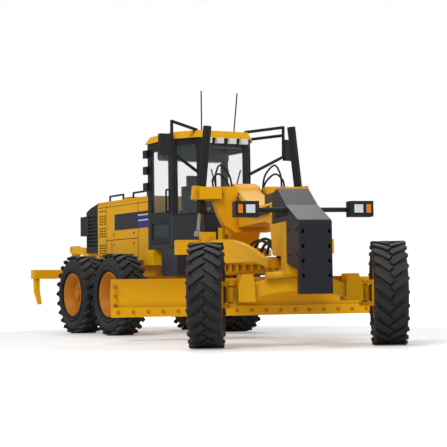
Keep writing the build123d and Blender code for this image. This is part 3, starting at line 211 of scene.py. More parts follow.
class SurfaceGroups:
    """Shader node groups that several materials share."""

    FINE_DETAIL = 3.0
    WIDE_SCALE = 60.0
    WIDE_DETAIL = 4.0
    BLOTCH_FLOOR = 0.97
    DUST_COLOR = (0.62, 0.6, 0.57, 1.0)
    # The next three set the painted shade that darkens seams and corners: its reach, its samples and its colour.
    PAINTED_SHADE_REACH = 2.2
    PAINTED_SHADE_SAMPLES = 6
    PAINTED_SHADE_COLOR = (0.22, 0.13, 0.06, 1.0)

    @staticmethod
    def grain() -> bpy.types.NodeTree:
        """Build the group for fine grain, blotches and settled dust.

        Returns:
            The group, with a tinted colour, a roughness and a height.
        """
        name = "surface_grain"
        if name in bpy.data.node_groups:
            return bpy.data.node_groups[name]
        group = bpy.data.node_groups.new(name, "ShaderNodeTree")
        socket(group, "Color", False, "NodeSocketColor")
        for label, value in (
            ("Roughness", 0.4), ("Scale", 900.0), ("Blotch", 0.06), ("Dust", 0.1),
        ):
            socket(group, label, False, "NodeSocketFloat", value)
        for label, kind in (
            ("Color", "NodeSocketColor"), ("Roughness", "NodeSocketFloat"),
            ("Height", "NodeSocketFloat"),
        ):
            socket(group, label, True, kind)
        nodes, links = group.nodes, group.links
        entry, leave = nodes.new("NodeGroupInput"), nodes.new("NodeGroupOutput")
        spot = nodes.new("ShaderNodeTexCoord")
        fine = nodes.new("ShaderNodeTexNoise")
        fine.inputs["Detail"].default_value = SurfaceGroups.FINE_DETAIL
        wide = nodes.new("ShaderNodeTexNoise")
        wide.inputs["Scale"].default_value = SurfaceGroups.WIDE_SCALE
        wide.inputs["Detail"].default_value = SurfaceGroups.WIDE_DETAIL
        links.new(spot.outputs["Object"], fine.inputs["Vector"])
        links.new(spot.outputs["Object"], wide.inputs["Vector"])
        links.new(entry.outputs["Scale"], fine.inputs["Scale"])
        links.new(fine.outputs["Fac"], leave.inputs["Height"])
        blotch = SurfaceGroups.maths(nodes, "MULTIPLY_ADD")
        links.new(wide.outputs["Fac"], blotch.inputs[0])
        links.new(entry.outputs["Blotch"], blotch.inputs[1])
        blotch.inputs[2].default_value = SurfaceGroups.BLOTCH_FLOOR
        tone = nodes.new("ShaderNodeMix")
        tone.data_type, tone.blend_type = "RGBA", "MULTIPLY"
        tone.inputs["Factor"].default_value = 1.0
        links.new(entry.outputs["Color"], tone.inputs["A"])
        links.new(blotch.outputs[0], tone.inputs["B"])
        facing = nodes.new("ShaderNodeNewGeometry")
        split = nodes.new("ShaderNodeSeparateXYZ")
        links.new(facing.outputs["Normal"], split.inputs[0])
        up = SurfaceGroups.maths(nodes, "MULTIPLY")
        links.new(split.outputs["Z"], up.inputs[0])
        links.new(wide.outputs["Fac"], up.inputs[1])
        settle = SurfaceGroups.maths(nodes, "MULTIPLY")
        settle.use_clamp = True
        links.new(up.outputs[0], settle.inputs[0])
        links.new(entry.outputs["Dust"], settle.inputs[1])
        dusty = nodes.new("ShaderNodeMix")
        dusty.data_type = "RGBA"
        dusty.inputs["B"].default_value = SurfaceGroups.DUST_COLOR
        links.new(settle.outputs[0], dusty.inputs["Factor"])
        links.new(tone.outputs["Result"], dusty.inputs["A"])
        links.new(dusty.outputs["Result"], leave.inputs["Color"])
        rough = SurfaceGroups.maths(nodes, "ADD")
        links.new(entry.outputs["Roughness"], rough.inputs[0])
        links.new(settle.outputs[0], rough.inputs[1])
        links.new(rough.outputs[0], leave.inputs["Roughness"])
        return group

    @staticmethod
    def painted_shade() -> bpy.types.NodeTree:
        """Build the group that paints shade into seams and corners.

        Returns:
            The group, with the colour darkened by painted shade where surfaces meet.
        """
        name = "crevice_shade"
        if name in bpy.data.node_groups:
            return bpy.data.node_groups[name]
        group = bpy.data.node_groups.new(name, "ShaderNodeTree")
        socket(group, "Color", False, "NodeSocketColor")
        socket(group, "Depth", False, "NodeSocketFloat", 0.5)
        socket(group, "Color", True, "NodeSocketColor")
        nodes, links = group.nodes, group.links
        entry, leave = nodes.new("NodeGroupInput"), nodes.new("NodeGroupOutput")
        # painted shade: ambient occlusion darkens the colour where surfaces meet
        hollow = nodes.new("ShaderNodeAmbientOcclusion")
        hollow.inputs["Distance"].default_value = SurfaceGroups.PAINTED_SHADE_REACH * MM
        hollow.samples = SurfaceGroups.PAINTED_SHADE_SAMPLES
        shade = SurfaceGroups.maths(nodes, "SUBTRACT")
        shade.inputs[0].default_value = 1.0
        links.new(hollow.outputs["AO"], shade.inputs[1])
        depth = SurfaceGroups.maths(nodes, "MULTIPLY")
        depth.use_clamp = True
        links.new(shade.outputs[0], depth.inputs[0])
        links.new(entry.outputs["Depth"], depth.inputs[1])
        dark = nodes.new("ShaderNodeMix")
        dark.data_type, dark.blend_type = "RGBA", "MULTIPLY"
        dark.inputs["B"].default_value = SurfaceGroups.PAINTED_SHADE_COLOR
        links.new(depth.outputs[0], dark.inputs["Factor"])
        links.new(entry.outputs["Color"], dark.inputs["A"])
        links.new(dark.outputs["Result"], leave.inputs["Color"])
        return group

    @staticmethod
    def maths(nodes: bpy.types.Nodes, operation: str) -> bpy.types.Node:
        """Add a maths node with the given operation."""
        node = nodes.new("ShaderNodeMath")
        node.operation = operation
        return node


@dataclass(frozen=True)
class Finish:
    """One opaque finish with grain, dust and painted shade in seams and corners."""

    name: str
    color: tuple[float, float, float]
    roughness: float = 0.4
    metallic: float = 0.0
    coat: float = 0.0
    grain_scale: float = 900.0
    grain_height: float = 0.03
    blotch: float = 0.06
    dust: float = 0.05
    # strength of the painted shade in seams and corners
    painted_shade: float = 0.5
    coat_roughness: float = 0.15
    specular: float = 0.24
    bump_strength: float = 0.4

    def build(self) -> bpy.types.Material:
        """Make the material, or fetch it if it is there.

        Returns:
            The material.
        """
        name = f"finish_{self.name}"
        if name in bpy.data.materials:
            return bpy.data.materials[name]
        material = bpy.data.materials.new(name)
        material.use_nodes = True
        nodes, links = material.node_tree.nodes, material.node_tree.links
        shader = nodes["Principled BSDF"]
        shader.inputs["Metallic"].default_value = self.metallic
        shader.inputs["Coat Weight"].default_value = self.coat
        shader.inputs["Coat Roughness"].default_value = self.coat_roughness
        shader.inputs["Specular IOR Level"].default_value = self.specular
        grain = nodes.new("ShaderNodeGroup")
        grain.node_tree = SurfaceGroups.grain()
        grain.inputs["Color"].default_value = (*self.color, 1.0)
        grain.inputs["Roughness"].default_value = self.roughness
        grain.inputs["Scale"].default_value = self.grain_scale
        grain.inputs["Blotch"].default_value = self.blotch
        grain.inputs["Dust"].default_value = self.dust
        # painted shade: darkens the grained colour in seams and corners
        painted_shade_node = nodes.new("ShaderNodeGroup")
        painted_shade_node.node_tree = SurfaceGroups.painted_shade()
        painted_shade_node.inputs["Depth"].default_value = self.painted_shade
        links.new(grain.outputs["Color"], painted_shade_node.inputs["Color"])
        links.new(painted_shade_node.outputs["Color"], shader.inputs["Base Color"])
        links.new(grain.outputs["Roughness"], shader.inputs["Roughness"])
        bump = nodes.new("ShaderNodeBump")
        bump.inputs["Strength"].default_value = self.bump_strength
        bump.inputs["Distance"].default_value = self.grain_height * MM
        links.new(grain.outputs["Height"], bump.inputs["Height"])
        links.new(bump.outputs["Normal"], shader.inputs["Normal"])
        return material


@dataclass(frozen=True)
class ClearFinish:
    """Clear glazing."""

    name: str
    color: tuple[float, float, float]
    alpha: float = 0.06
    roughness: float = 0.04
    ior: float = 1.45

    def build(self) -> bpy.types.Material:
        """Make the glazing.

        Returns:
            The material.
        """
        material = bpy.data.materials.new(f"finish_{self.name}")
        material.use_nodes = True
        shader = material.node_tree.nodes["Principled BSDF"]
        shader.inputs["Base Color"].default_value = (*self.color, 1.0)
        shader.inputs["Roughness"].default_value = self.roughness
        shader.inputs["Alpha"].default_value = self.alpha
        shader.inputs["IOR"].default_value = self.ior
        return material


PAINT = Finish("yellow_paint", YELLOW, 0.46, dust=0.0, painted_shade=0.95)
RIM_PAINT = Finish("rim_paint", RIM_YELLOW, 0.5, dust=0.0, painted_shade=0.9)
BLACK_METAL = Finish("black_metal", BLACK, 0.38, dust=0.03)
BLACK_PLASTIC = Finish("black_plastic", (0.022, 0.023, 0.026), 0.5, dust=0.03)
GREY_PAINT = Finish("dark_grey", DARK_GREY, 0.42, coat=0.1, dust=0.03)
NOSE_PAINT = Finish("nose_grey", (0.018, 0.019, 0.025), 0.42, dust=0.0)
CHROME = Finish("bright_rod", (0.72, 0.72, 0.74), 0.2, metallic=1.0, dust=0.0, grain_height=0.005)
RUBBER = Finish(
    "tyre", (0.02, 0.02, 0.022), 0.62, grain_height=0.06, blotch=0.3, dust=0.16, painted_shade=0.2
)
HOSE = Finish("hose", (0.012, 0.012, 0.013), 0.4, dust=0.02, painted_shade=0.2)
LENS = Finish("lens", (0.8, 0.82, 0.84), 0.16, coat=0.6, dust=0.0, painted_shade=0.2)
AMBER = Finish("amber_lens", (0.82, 0.24, 0.01), 0.2, coat=0.6, dust=0.0, painted_shade=0.2)
STRIPE_WHITE = Finish("stripe_white", WHITE, 0.4, dust=0.0)
STRIPE_VIOLET = Finish("stripe_violet", VIOLET, 0.35, dust=0.0)
PANEL_DARK = Finish("panel_dark", (0.03, 0.032, 0.04), 0.35, dust=0.0)
SEAM_LINE = Finish("seam_line", (0.16, 0.07, 0.006), 0.7, dust=0.0)
# near-black painted shade for slots and recesses
SLOT_PAINTED_SHADE = Finish("slot_painted_shade", (0.012, 0.011, 0.01), 0.8, dust=0.0)
MIRROR = Finish("mirror_face", (0.6, 0.62, 0.64), 0.08, metallic=1.0, dust=0.0, grain_height=0.0)


@dataclass
class Piece:
    """A mesh piece gathered from simple shapes and carried by one CAD body."""

    name: str
    body: str
    finish: Finish
    half: Half = Half.FRONT
    slot: str = ""
    points: list[Vector] = field(default_factory=list)
    faces: list[tuple[int, ...]] = field(default_factory=list)
    smooth: list[bool] = field(default_factory=list)

    def add(self, points: list[Vector], faces: list[tuple[int, ...]], smooth: bool) -> None:
        """Append a shape.

        Args:
            points: its corners in the frame's metres.
            faces: its faces.
            smooth: True for round surfaces.
        """
        start = len(self.points)
        self.points.extend(points)
        for face in faces:
            self.faces.append(tuple(start + index for index in face))
            self.smooth.append(smooth and len(face) == 4)

    def block(self, low: tuple[float, ...], high: tuple[float, ...], chamfer: float = 0.0) -> None:
        """Add a box with its long edges chamfered.

        Args:
            low: the lowest corner in millimetres.
            high: the highest corner.
            chamfer: the chamfer's width.
        """
        (x0, y0, z0), (x1, y1, z1) = low, high
        c = min(chamfer, (x1 - x0) / 3, (z1 - z0) / 3)
        ring = [
            (x0 + c, z0), (x1 - c, z0), (x1, z0 + c), (x1, z1 - c),
            (x1 - c, z1), (x0 + c, z1), (x0, z1 - c), (x0, z0 + c),
        ] if c > 0 else [(x0, z0), (x1, z0), (x1, z1), (x0, z1)]
        count = len(ring)
        points = [MAP.point((x, y, z), self.half) for y in (y0, y1) for x, z in ring]
        faces = [tuple(range(count)), tuple(reversed(range(count, 2 * count)))]
        for index in range(count):
            after = (index + 1) % count
            faces.append((after, index, index + count, after + count))
        self.add(points, faces, False)

    def round_bar(
        self, start: tuple[float, ...], end: tuple[float, ...], radius: float,
        far_radius: float | None = None, sides: int = 16,
    ) -> None:
        """Add a round bar or cone.

        Args:
            start: one end's middle in millimetres.
            end: the other end's middle.
            radius: the radius at the start.
            far_radius: the radius at the end, where it differs.
            sides: how many flats it has.
        """
        a, b = MAP.point(start, self.half), MAP.point(end, self.half)
        self.ring_stack([(a, radius), (b, radius if far_radius is None else far_radius)], sides)

    def ring_stack(self, stations: list[tuple[Vector, float]], sides: int) -> None:
        """Add a round skin through rings of points.

        Args:
            stations: middles in metres with radii in millimetres.
            sides: how many flats it has.
        """
        points: list[Vector] = []
        faces: list[tuple[int, ...]] = []
        side_dir = None
        count = len(stations)
        for index, (middle, radius) in enumerate(stations):
            before = stations[max(index - 1, 0)][0]
            after = stations[min(index + 1, count - 1)][0]
            along = (after - before).normalized()
            if side_dir is None:
                side_dir = along.orthogonal().normalized()
            side_dir = (side_dir - along * side_dir.dot(along)).normalized()
            other = along.cross(side_dir)
            for step in range(sides):
                turn = 2 * math.pi * step / sides
                reach = side_dir * math.cos(turn) + other * math.sin(turn)
                points.append(middle + reach * radius * MM)
        for index in range(count - 1):
            for step in range(sides):
                after = (step + 1) % sides
                low, high = index * sides, (index + 1) * sides
                faces.append((low + step, low + after, high + after, high + step))
        faces.append(tuple(reversed(range(sides))))
        faces.append(tuple(range((count - 1) * sides, count * sides)))
        self.add(points, faces, True)

    def hose(self, path: list[tuple[float, float, float]], radius: float, sides: int = 8) -> None:
        """Add a bent hose through points, smoothed between them.

        Args:
            path: points in millimetres.
            radius: the hose's radius.
            sides: how many flats it has.
        """
        spots = [MAP.point(p, self.half) for p in path]
        spots = [2 * spots[0] - spots[1], *spots, 2 * spots[-1] - spots[-2]]
        line: list[tuple[Vector, float]] = []
        for index in range(1, len(spots) - 2):
            p0, p1, p2, p3 = spots[index - 1: index + 3]
            for step in range(HOSE_STEPS):
                t = step / HOSE_STEPS
                line.append((
                    0.5 * (2 * p1 + (p2 - p0) * t + (2 * p0 - 5 * p1 + 4 * p2 - p3) * t * t
                           + (3 * p1 - p0 - 3 * p2 + p3) * t ** 3), radius,
                ))
        line.append((spots[-2], radius))
        self.ring_stack(line, sides)

    def ring(
        self, middle: Vector, along: Vector, profile: list[tuple[float, float]], sides: int = 64,
    ) -> None:
        """Add a closed ring turned about an axis.

        Args:
            middle: the axis point in metres.
            along: the axis direction.
            profile: closed section as (radius, offset) in millimetres.
            sides: how many flats it has.
        """
        across = along.orthogonal().normalized()
        other = along.cross(across)
        count = len(profile)
        points = []
        for step in range(sides):
            turn = 2 * math.pi * step / sides
            out = across * math.cos(turn) + other * math.sin(turn)
            points.extend(middle + out * r * MM + along * o * MM for r, o in profile)
        faces = []
        for step in range(sides):
            low, high = step * count, (step + 1) % sides * count
            for index in range(count):
                after = (index + 1) % count
                faces.append((low + index, low + after, high + after, high + index))
        self.add(points, faces, True)

    def build(self) -> bpy.types.Object:
        """Make the mesh object and tie it to its body.

        Returns:
            The object.
        """
        mesh = bpy.data.meshes.new(self.name)
        mesh.from_pydata([tuple(p) for p in self.points], [], self.faces)
        mesh.polygons.foreach_set("use_smooth", self.smooth)
        mesh.validate()
        piece = bpy.data.objects.new(self.name, mesh)
        bpy.context.scene.collection.objects.link(piece)
        piece.data.materials.append(self.finish.build())
        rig.ride(piece, self.body)
        if self.slot:
            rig.slot(piece, self.slot)
        LOG.info("%s: %d faces on %s", self.name, len(self.faces), self.body)
        return piece


class NodePaint:
    """Gives every CAD node its finish."""

    GLASS_COLOR = (0.55, 0.66, 0.7)

    def choose(self, node: str) -> Finish:
        """Pick the finish of a node.

        Args:
            node: the CAD node's name.

        Returns:
            Its finish.
        """
        starts = {
            "tyre_": RUBBER, "rim_": RIM_PAINT, "lift_rod": CHROME, "articulation_rod": CHROME,
            "lift_barrel": BLACK_METAL, "lift_yoke": PAINT,
            "articulation_barrel": BLACK_METAL, "steer_knuckle": PAINT,
        }
        exact = {
            "nose_cover": NOSE_PAINT, "headlamps": BLACK_PLASTIC, "headlamp_lenses": LENS,
            "roof_lamps": LENS, "valve_block": GREY_PAINT, "cab_base": GREY_PAINT,
            "cab_frame": BLACK_METAL, "cab_doors": BLACK_METAL, "cab_roof": PAINT,
            "hood_cover": PAINT, "rear_grille": BLACK_PLASTIC, "hood_rails": BLACK_METAL,
            "mirror_arms": BLACK_METAL, "side_steps": GREY_PAINT, "antennas": BLACK_METAL,
            "seat": BLACK_PLASTIC, "console": BLACK_PLASTIC,
        }
        if node in exact:
            return exact[node]
        for start, finish in starts.items():
            if node.startswith(start):
                return finish
        return PAINT

    def apply(self, nodes: dict[str, bpy.types.Object]) -> None:
        """Assign the finishes.

        Args:
            nodes: the frame's nodes by name.
        """
        glass = ClearFinish("glass", self.GLASS_COLOR).build()
        for name, node in nodes.items():
            node.data.materials.clear()
            node.data.materials.append(glass if name == "cab_glass" else self.choose(name).build())
        LOG.info("painted %d nodes", len(nodes))


@dataclass
class NoseDetails:
    """Bolts, the nose block's side recess shown as a sheet of painted shade, and the amber lamps."""

    face_y: float = -18.6
    half_width: float = 4.2
    edge: float = 0.75
    front_bolt_radius: float = 0.5
    side_bolt_radius: float = 0.34
    bolt_rows: tuple[float, ...] = (28.9, 25.3, 21.7, 18.1)
    side_bolts: tuple[tuple[float, float], ...] = (
        (-15.4, 29.6), (-8.0, 29.8), (-15.2, 23.4), (-8.0, 23.4),
    )

    def build(self) -> None:
        """Make the nose's pieces."""
        bolts = Piece("nose_bolts", "front_frame", NOSE_PAINT, slot="black_plastic")
        for z in self.bolt_rows:
            for side in SIDES:
                x = side * (self.half_width - self.edge)
                bolts.round_bar(
                    (x, self.face_y + 0.1, z), (x, self.face_y, z), self.front_bolt_radius,
                )
        for side in SIDES:
            for y, z in self.side_bolts:
                bolts.round_bar((side * 4.15, y, z), (side * 4.42, y, z), self.side_bolt_radius)
        bolts.build()
        # painted shade: a thin near-black sheet on each side stands for the shade inside the recess
        recess = Piece("nose_recess_painted_shade", "front_frame", SLOT_PAINTED_SHADE, slot="black_plastic")
        for side in SIDES:
            near, far = sorted((side * 4.1, side * 4.26))
            recess.block((near, -6.6, 33.4), (far, 6.4, 35.2))
        recess.build()
        amber = Piece("headlamp_amber", "front_frame", AMBER, slot="lens")
        for side in SIDES:
            near, far = sorted((side * 16.05, side * 17.25))
            amber.block((near, -8.57, 33.95), (far, -8.48, 36.15))
        amber.build()


@dataclass
class BladeDetails:
    """Cutting edge and bolt rows of the blade."""

    middle: float = -0.8
    half: float = 41.9
    face_y: float = 51.6
    low: float = 7.1
    edge_depth: float = 0.62
    edge_height: float = 2.9
    pitch: float = 4.4
    first_bolt: float = 2.0
    bolt_rise: float = 1.5
    end_margin: float = 1.4
    end_bolts: tuple[float, ...] = (10.6, 13.2, 15.8)

    def build(self) -> None:
        """Make the blade's pieces."""
        edge = Piece("cutting_edge", "moldboard", PAINT, slot="yellow_paint")
        edge.block(
            (self.middle - self.half, self.face_y - 0.02, self.low),
            (self.middle + self.half, self.face_y + self.edge_depth,
             self.low + self.edge_height),
        )
        edge.build()
        bolts = Piece("blade_bolts", "moldboard", RIM_PAINT, slot="yellow_paint")
        count = int(2 * (self.half - self.first_bolt) / self.pitch)
        for index in range(count + 1):
            x = self.middle - self.half + self.first_bolt + index * self.pitch
            z = self.low + self.bolt_rise
            bolts.round_bar(
                (x, self.face_y + 0.3, z), (x, self.face_y - 0.3, z), 0.52, 0.4, sides=12,
            )
        for side in SIDES:
            x = self.middle + side * (self.half - self.end_margin)
            for z in self.end_bolts:
                bolts.round_bar((x, self.face_y + 1.2, z), (x, self.face_y + 0.9, z), 0.5, 0.4, 12)
        bolts.build()


@dataclass
class DrawbarDetails:
    """Hoses and fittings that lie in the drawbar."""

    hose_radius: float = 0.42
    hose_spacing: float = 1.15
    count: int = 6
    post_x: float = 10.4
    post_y: float = 44.0
    cap_y: float = 50.5

    def build(self) -> None:
        """Make the hoses, the two posts and the middle cap."""
        hoses = Piece("drawbar_hoses", "drawbar", HOSE, slot="black_plastic")
        for index in range(self.count):
            x = (index - (self.count - 1) / 2) * self.hose_spacing
            lift = 0.5 * math.sin(index * 2.1)
            hoses.hose(
                [(x * 0.7, 12.0, 22.9 + 0.2 * index), (x, 18.0, 26.4 + lift),
                 (x * 1.3, 27.0, 28.3 + lift), (x * 1.5, 35.0, 27.6 + lift),
                 (x * 1.7, 40.0, 25.0 + lift)],
                self.hose_radius,
            )
        hoses.build()
        fittings = Piece("drawbar_fittings", "drawbar", PAINT, slot="yellow_paint")
        for side in SIDES:
            x, y = side * self.post_x, self.post_y
            fittings.round_bar((x, y, 24.0), (x, y, 26.6), 1.3)
            fittings.round_bar((x, y, 26.6), (x, y, 27.3), 0.8)
        fittings.round_bar((0.0, self.cap_y, 23.4), (0.0, self.cap_y, 25.6), 3.2, 2.4, 24)
        fittings.build()


@dataclass
class GooseneckDetails:
    """Hoses and pipes along the gooseneck and at the saddle."""

    pipe_radius: float = 0.4
    pipe_x: float = 4.75
    lanes: tuple[float, ...] = (0.0, 1.1)
    pipe_line: tuple[tuple[float, float], ...] = (
        (12.0, 36.6), (30.0, 36.7), (45.0, 39.4), (52.6, 42.0),
    )
    loop_radius: float = 0.3
    loops: tuple[tuple[tuple[float, float, float], ...], ...] = (
        ((4.6, 61.5, 44.0), (6.2, 62.0, 47.6), (8.8, 61.2, 49.8), (10.8, 60.0, 48.0),
         (11.0, 58.6, 45.8)),
        ((4.6, 60.6, 44.6), (5.6, 60.8, 49.4), (8.4, 60.2, 52.4), (10.0, 59.4, 49.6),
         (10.2, 58.6, 45.8)),
    )
    band_y: float = 66.5
    band_z: float = 38.6

    def build(self) -> None:
        """Make the pipes, the looped hoses and the round side covers."""
        pipes = Piece("gooseneck_pipes", "front_frame", HOSE, slot="black_plastic")
        for side in SIDES:
            for lane in self.lanes:
                line = [(side * self.pipe_x, y, z - lane) for y, z in self.pipe_line]
                pipes.hose(line, self.pipe_radius)
            for loop in self.loops:
                pipes.hose([(side * x, y, z) for x, y, z in loop], self.loop_radius)
        pipes.build()
        bands = Piece("gooseneck_bands", "front_frame", PAINT, slot="yellow_paint")
        for side in SIDES:
            y, z = self.band_y, self.band_z
            bands.round_bar((side * 4.2, y, z), (side * 4.9, y, z), 4.4, 4.2, 40)
            bands.round_bar((side * 4.2, y, z), (side * 5.3, y, z), 2.2, 2.0, 32)
        bands.build()


@dataclass
class HoodDetails:
    """Printed band, seams and latches of the engine hood."""

    half_width: float = 12.0
    skin: float = 0.06
    sunk: float = 0.05
    latches: tuple[tuple[float, float], ...] = (
        (124.5, 34.2), (140.6, 34.2), (124.5, 30.6), (140.6, 30.6),
    )

    def patch(self, piece: Piece, side: int, spot: tuple[float, float, float, float]) -> None:
        """Lay a thin patch on the hood's side.

        Args:
            piece: the piece to add to.
            side: 1 for the left side and -1 for the right.
            spot: from and to along Y, then from and to in height.
        """
        y0, y1, z0, z1 = spot
        near, far = sorted(
            (side * (self.half_width - self.sunk), side * (self.half_width + self.skin))
        )
        piece.block((near, y0, z0), (far, y1, z1))

    def build(self) -> None:
        """Make the hood's printed patches, seams and latches."""
        kinds = (
            ("hood_panel", PANEL_DARK, "black_plastic",
             [(121.6, 140.5, 35.9, 41.5), (112.0, 121.6, 40.5, 41.5)]),
            ("hood_stripe_white", STRIPE_WHITE, "lens",
             [(112.0, 121.6, 40.1, 40.5), (112.0, 121.6, 38.3, 38.7)]),
            ("hood_stripe_violet", STRIPE_VIOLET, "black_plastic",
             [(112.0, 121.6, 38.7, 40.1), (112.0, 121.6, 35.9, 38.3)]),
            ("hood_seams", SEAM_LINE, "yellow_paint",
             [(121.4, 121.6, 26.0, 35.8), (121.4, 121.6, 41.6, 45.0), (122.0, 148.0, 32.5, 32.7),
              (142.9, 143.1, 26.6, 32.4), (147.4, 147.6, 26.0, 45.0), (111.5, 154.6, 44.4, 44.55)]),
        )
        for name, finish, slot, spots in kinds:
            piece = Piece(name, "rear_frame", finish, Half.REAR, slot)
            for side in SIDES:
                for spot in spots:
                    self.patch(piece, side, spot)
            piece.build()
        latches = Piece("hood_latches", "rear_frame", BLACK_METAL, Half.REAR, "black_metal")
        for side in SIDES:
            for y, z in self.latches:
                self.patch(latches, side, (y, y + 0.9, z, z + 0.5))
        latches.build()


@dataclass
class CabDetails:
    """Steering wheel, grab handles, wipers, inner lining and mirror faces."""

    wheel_middle: tuple[float, float, float] = (0.0, 90.2, 44.6)
    wheel_lean: tuple[float, float, float] = (0.0, 0.5, 0.87)
    spoke: float = 3.1
    handle_x: float = 15.2
    door_x: float = 14.2
    handle_y: float = 94.2
    handle_ends: tuple[float, float] = (40.0, 47.0)
    handle_radius: float = 0.3
    wiper: tuple[tuple[float, float, float], ...] = (
        (3.0, 82.3, 40.4), (3.4, 81.9, 46.0), (5.4, 81.8, 53.0),
    )

    def build(self) -> None:
        """Make the cab's small pieces."""
        wheel = Piece("steering_wheel", "rear_frame", BLACK_PLASTIC, Half.REAR, "black_plastic")
        middle = MAP.point(self.wheel_middle, Half.REAR)
        turn = Matrix.Rotation(math.radians(ARTICULATION), 3, "Z")
        along = (turn @ Vector(self.wheel_lean)).normalized()
        wheel.ring(middle, along, [(3.2, -0.25), (3.6, 0.0), (3.2, 0.25), (2.9, 0.0)], 32)
        for step in range(3):
            reach = Matrix.Rotation(2 * math.pi * step / 3, 3, along) @ along.orthogonal()
            tip = middle + reach.normalized() * self.spoke * MM
            wheel.ring_stack([(middle, 0.25), (tip, 0.25)], 8)
        wheel.build()
        trim = Piece("cab_trim", "rear_frame", BLACK_METAL, Half.REAR, "black_metal")
        for side in SIDES:
            x, y = side * self.handle_x, self.handle_y
            low, high = self.handle_ends
            trim.round_bar((x, y, low), (x, y, high), self.handle_radius)
            for z in self.handle_ends:
                trim.round_bar((side * self.door_x, y, z), (x, y, z), self.handle_radius)
            trim.hose([(side * a, b, c) for a, b, c in self.wiper], 0.22)
        trim.build()
        liner = Piece("cab_liner", "rear_frame", GREY_PAINT, Half.REAR, "black_plastic")
        liner.block((-12.6, 92.0, 62.2), (12.6, 107.0, 62.8))
        liner.block((-11.6, 103.4, 57.6), (11.6, 107.2, 62.2), 0.6)
        liner.block((-7.6, 84.2, 60.2), (7.6, 85.4, 62.8), 0.3)
        liner.build()
        faces = Piece("mirror_faces", "rear_frame", MIRROR, Half.REAR, "bright_rod")
        for side in SIDES:
            near, far = sorted((side * 21.1, side * 24.3))
            faces.block((near, 80.75, 56.8), (far, 80.85, 62.9))
        faces.build()


@dataclass
class AxleDetails:
    """Steering and leaning cylinders shown on the front axle."""

    def build(self) -> None:
        """Make the cylinders and their eyes."""
        parts = Piece("axle_cylinders", "front_frame", PAINT, slot="yellow_paint")
        parts.round_bar((-9.6, 3.0, 16.4), (9.0, 3.0, 16.4), 0.95, sides=20)
        parts.round_bar((-9.2, -2.9, 18.2), (0.6, -2.9, 19.2), 0.9, sides=20)
        for x in (-9.4, 9.2):
            parts.round_bar((x, 2.0, 16.4), (x, 4.0, 16.4), 1.3, sides=20)
        parts.build()
        rods = Piece("axle_rods", "front_frame", CHROME, slot="bright_rod")
        rods.round_bar((0.6, -2.9, 19.2), (8.2, -2.9, 19.9), 0.45)
        rods.build()


@dataclass
class TyreDetails:
    """Sidewall beads of the six tyres."""

    bead: float = 8.4
    wall: float = 3.9
    sunk: float = 0.2

    def build(self) -> None:
        """Make a bead ring on both walls of every tyre."""
        for place in ("front", "middle", "rear"):
            for word in ("left", "right"):
                low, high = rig.box(f"tyre_{place}_{word}")
                middle = (Vector(low) + Vector(high)) / 2
                angle = STEER if place == "front" else ARTICULATION
                along = Matrix.Rotation(math.radians(angle), 3, "Z") @ Vector((1.0, 0.0, 0.0))
                rings = Piece(
                    f"bead_{place}_{word}", f"wheel_{place}_{word}", RUBBER, slot="tyre"
                )
                for side in SIDES:
                    offset = side * self.wall
                    rings.ring(middle, along, [
                        (self.bead, offset - self.sunk), (self.bead + 0.4, offset + side * 0.14),
                        (self.bead + 0.8, offset - self.sunk),
                    ], 48)
                rings.build()


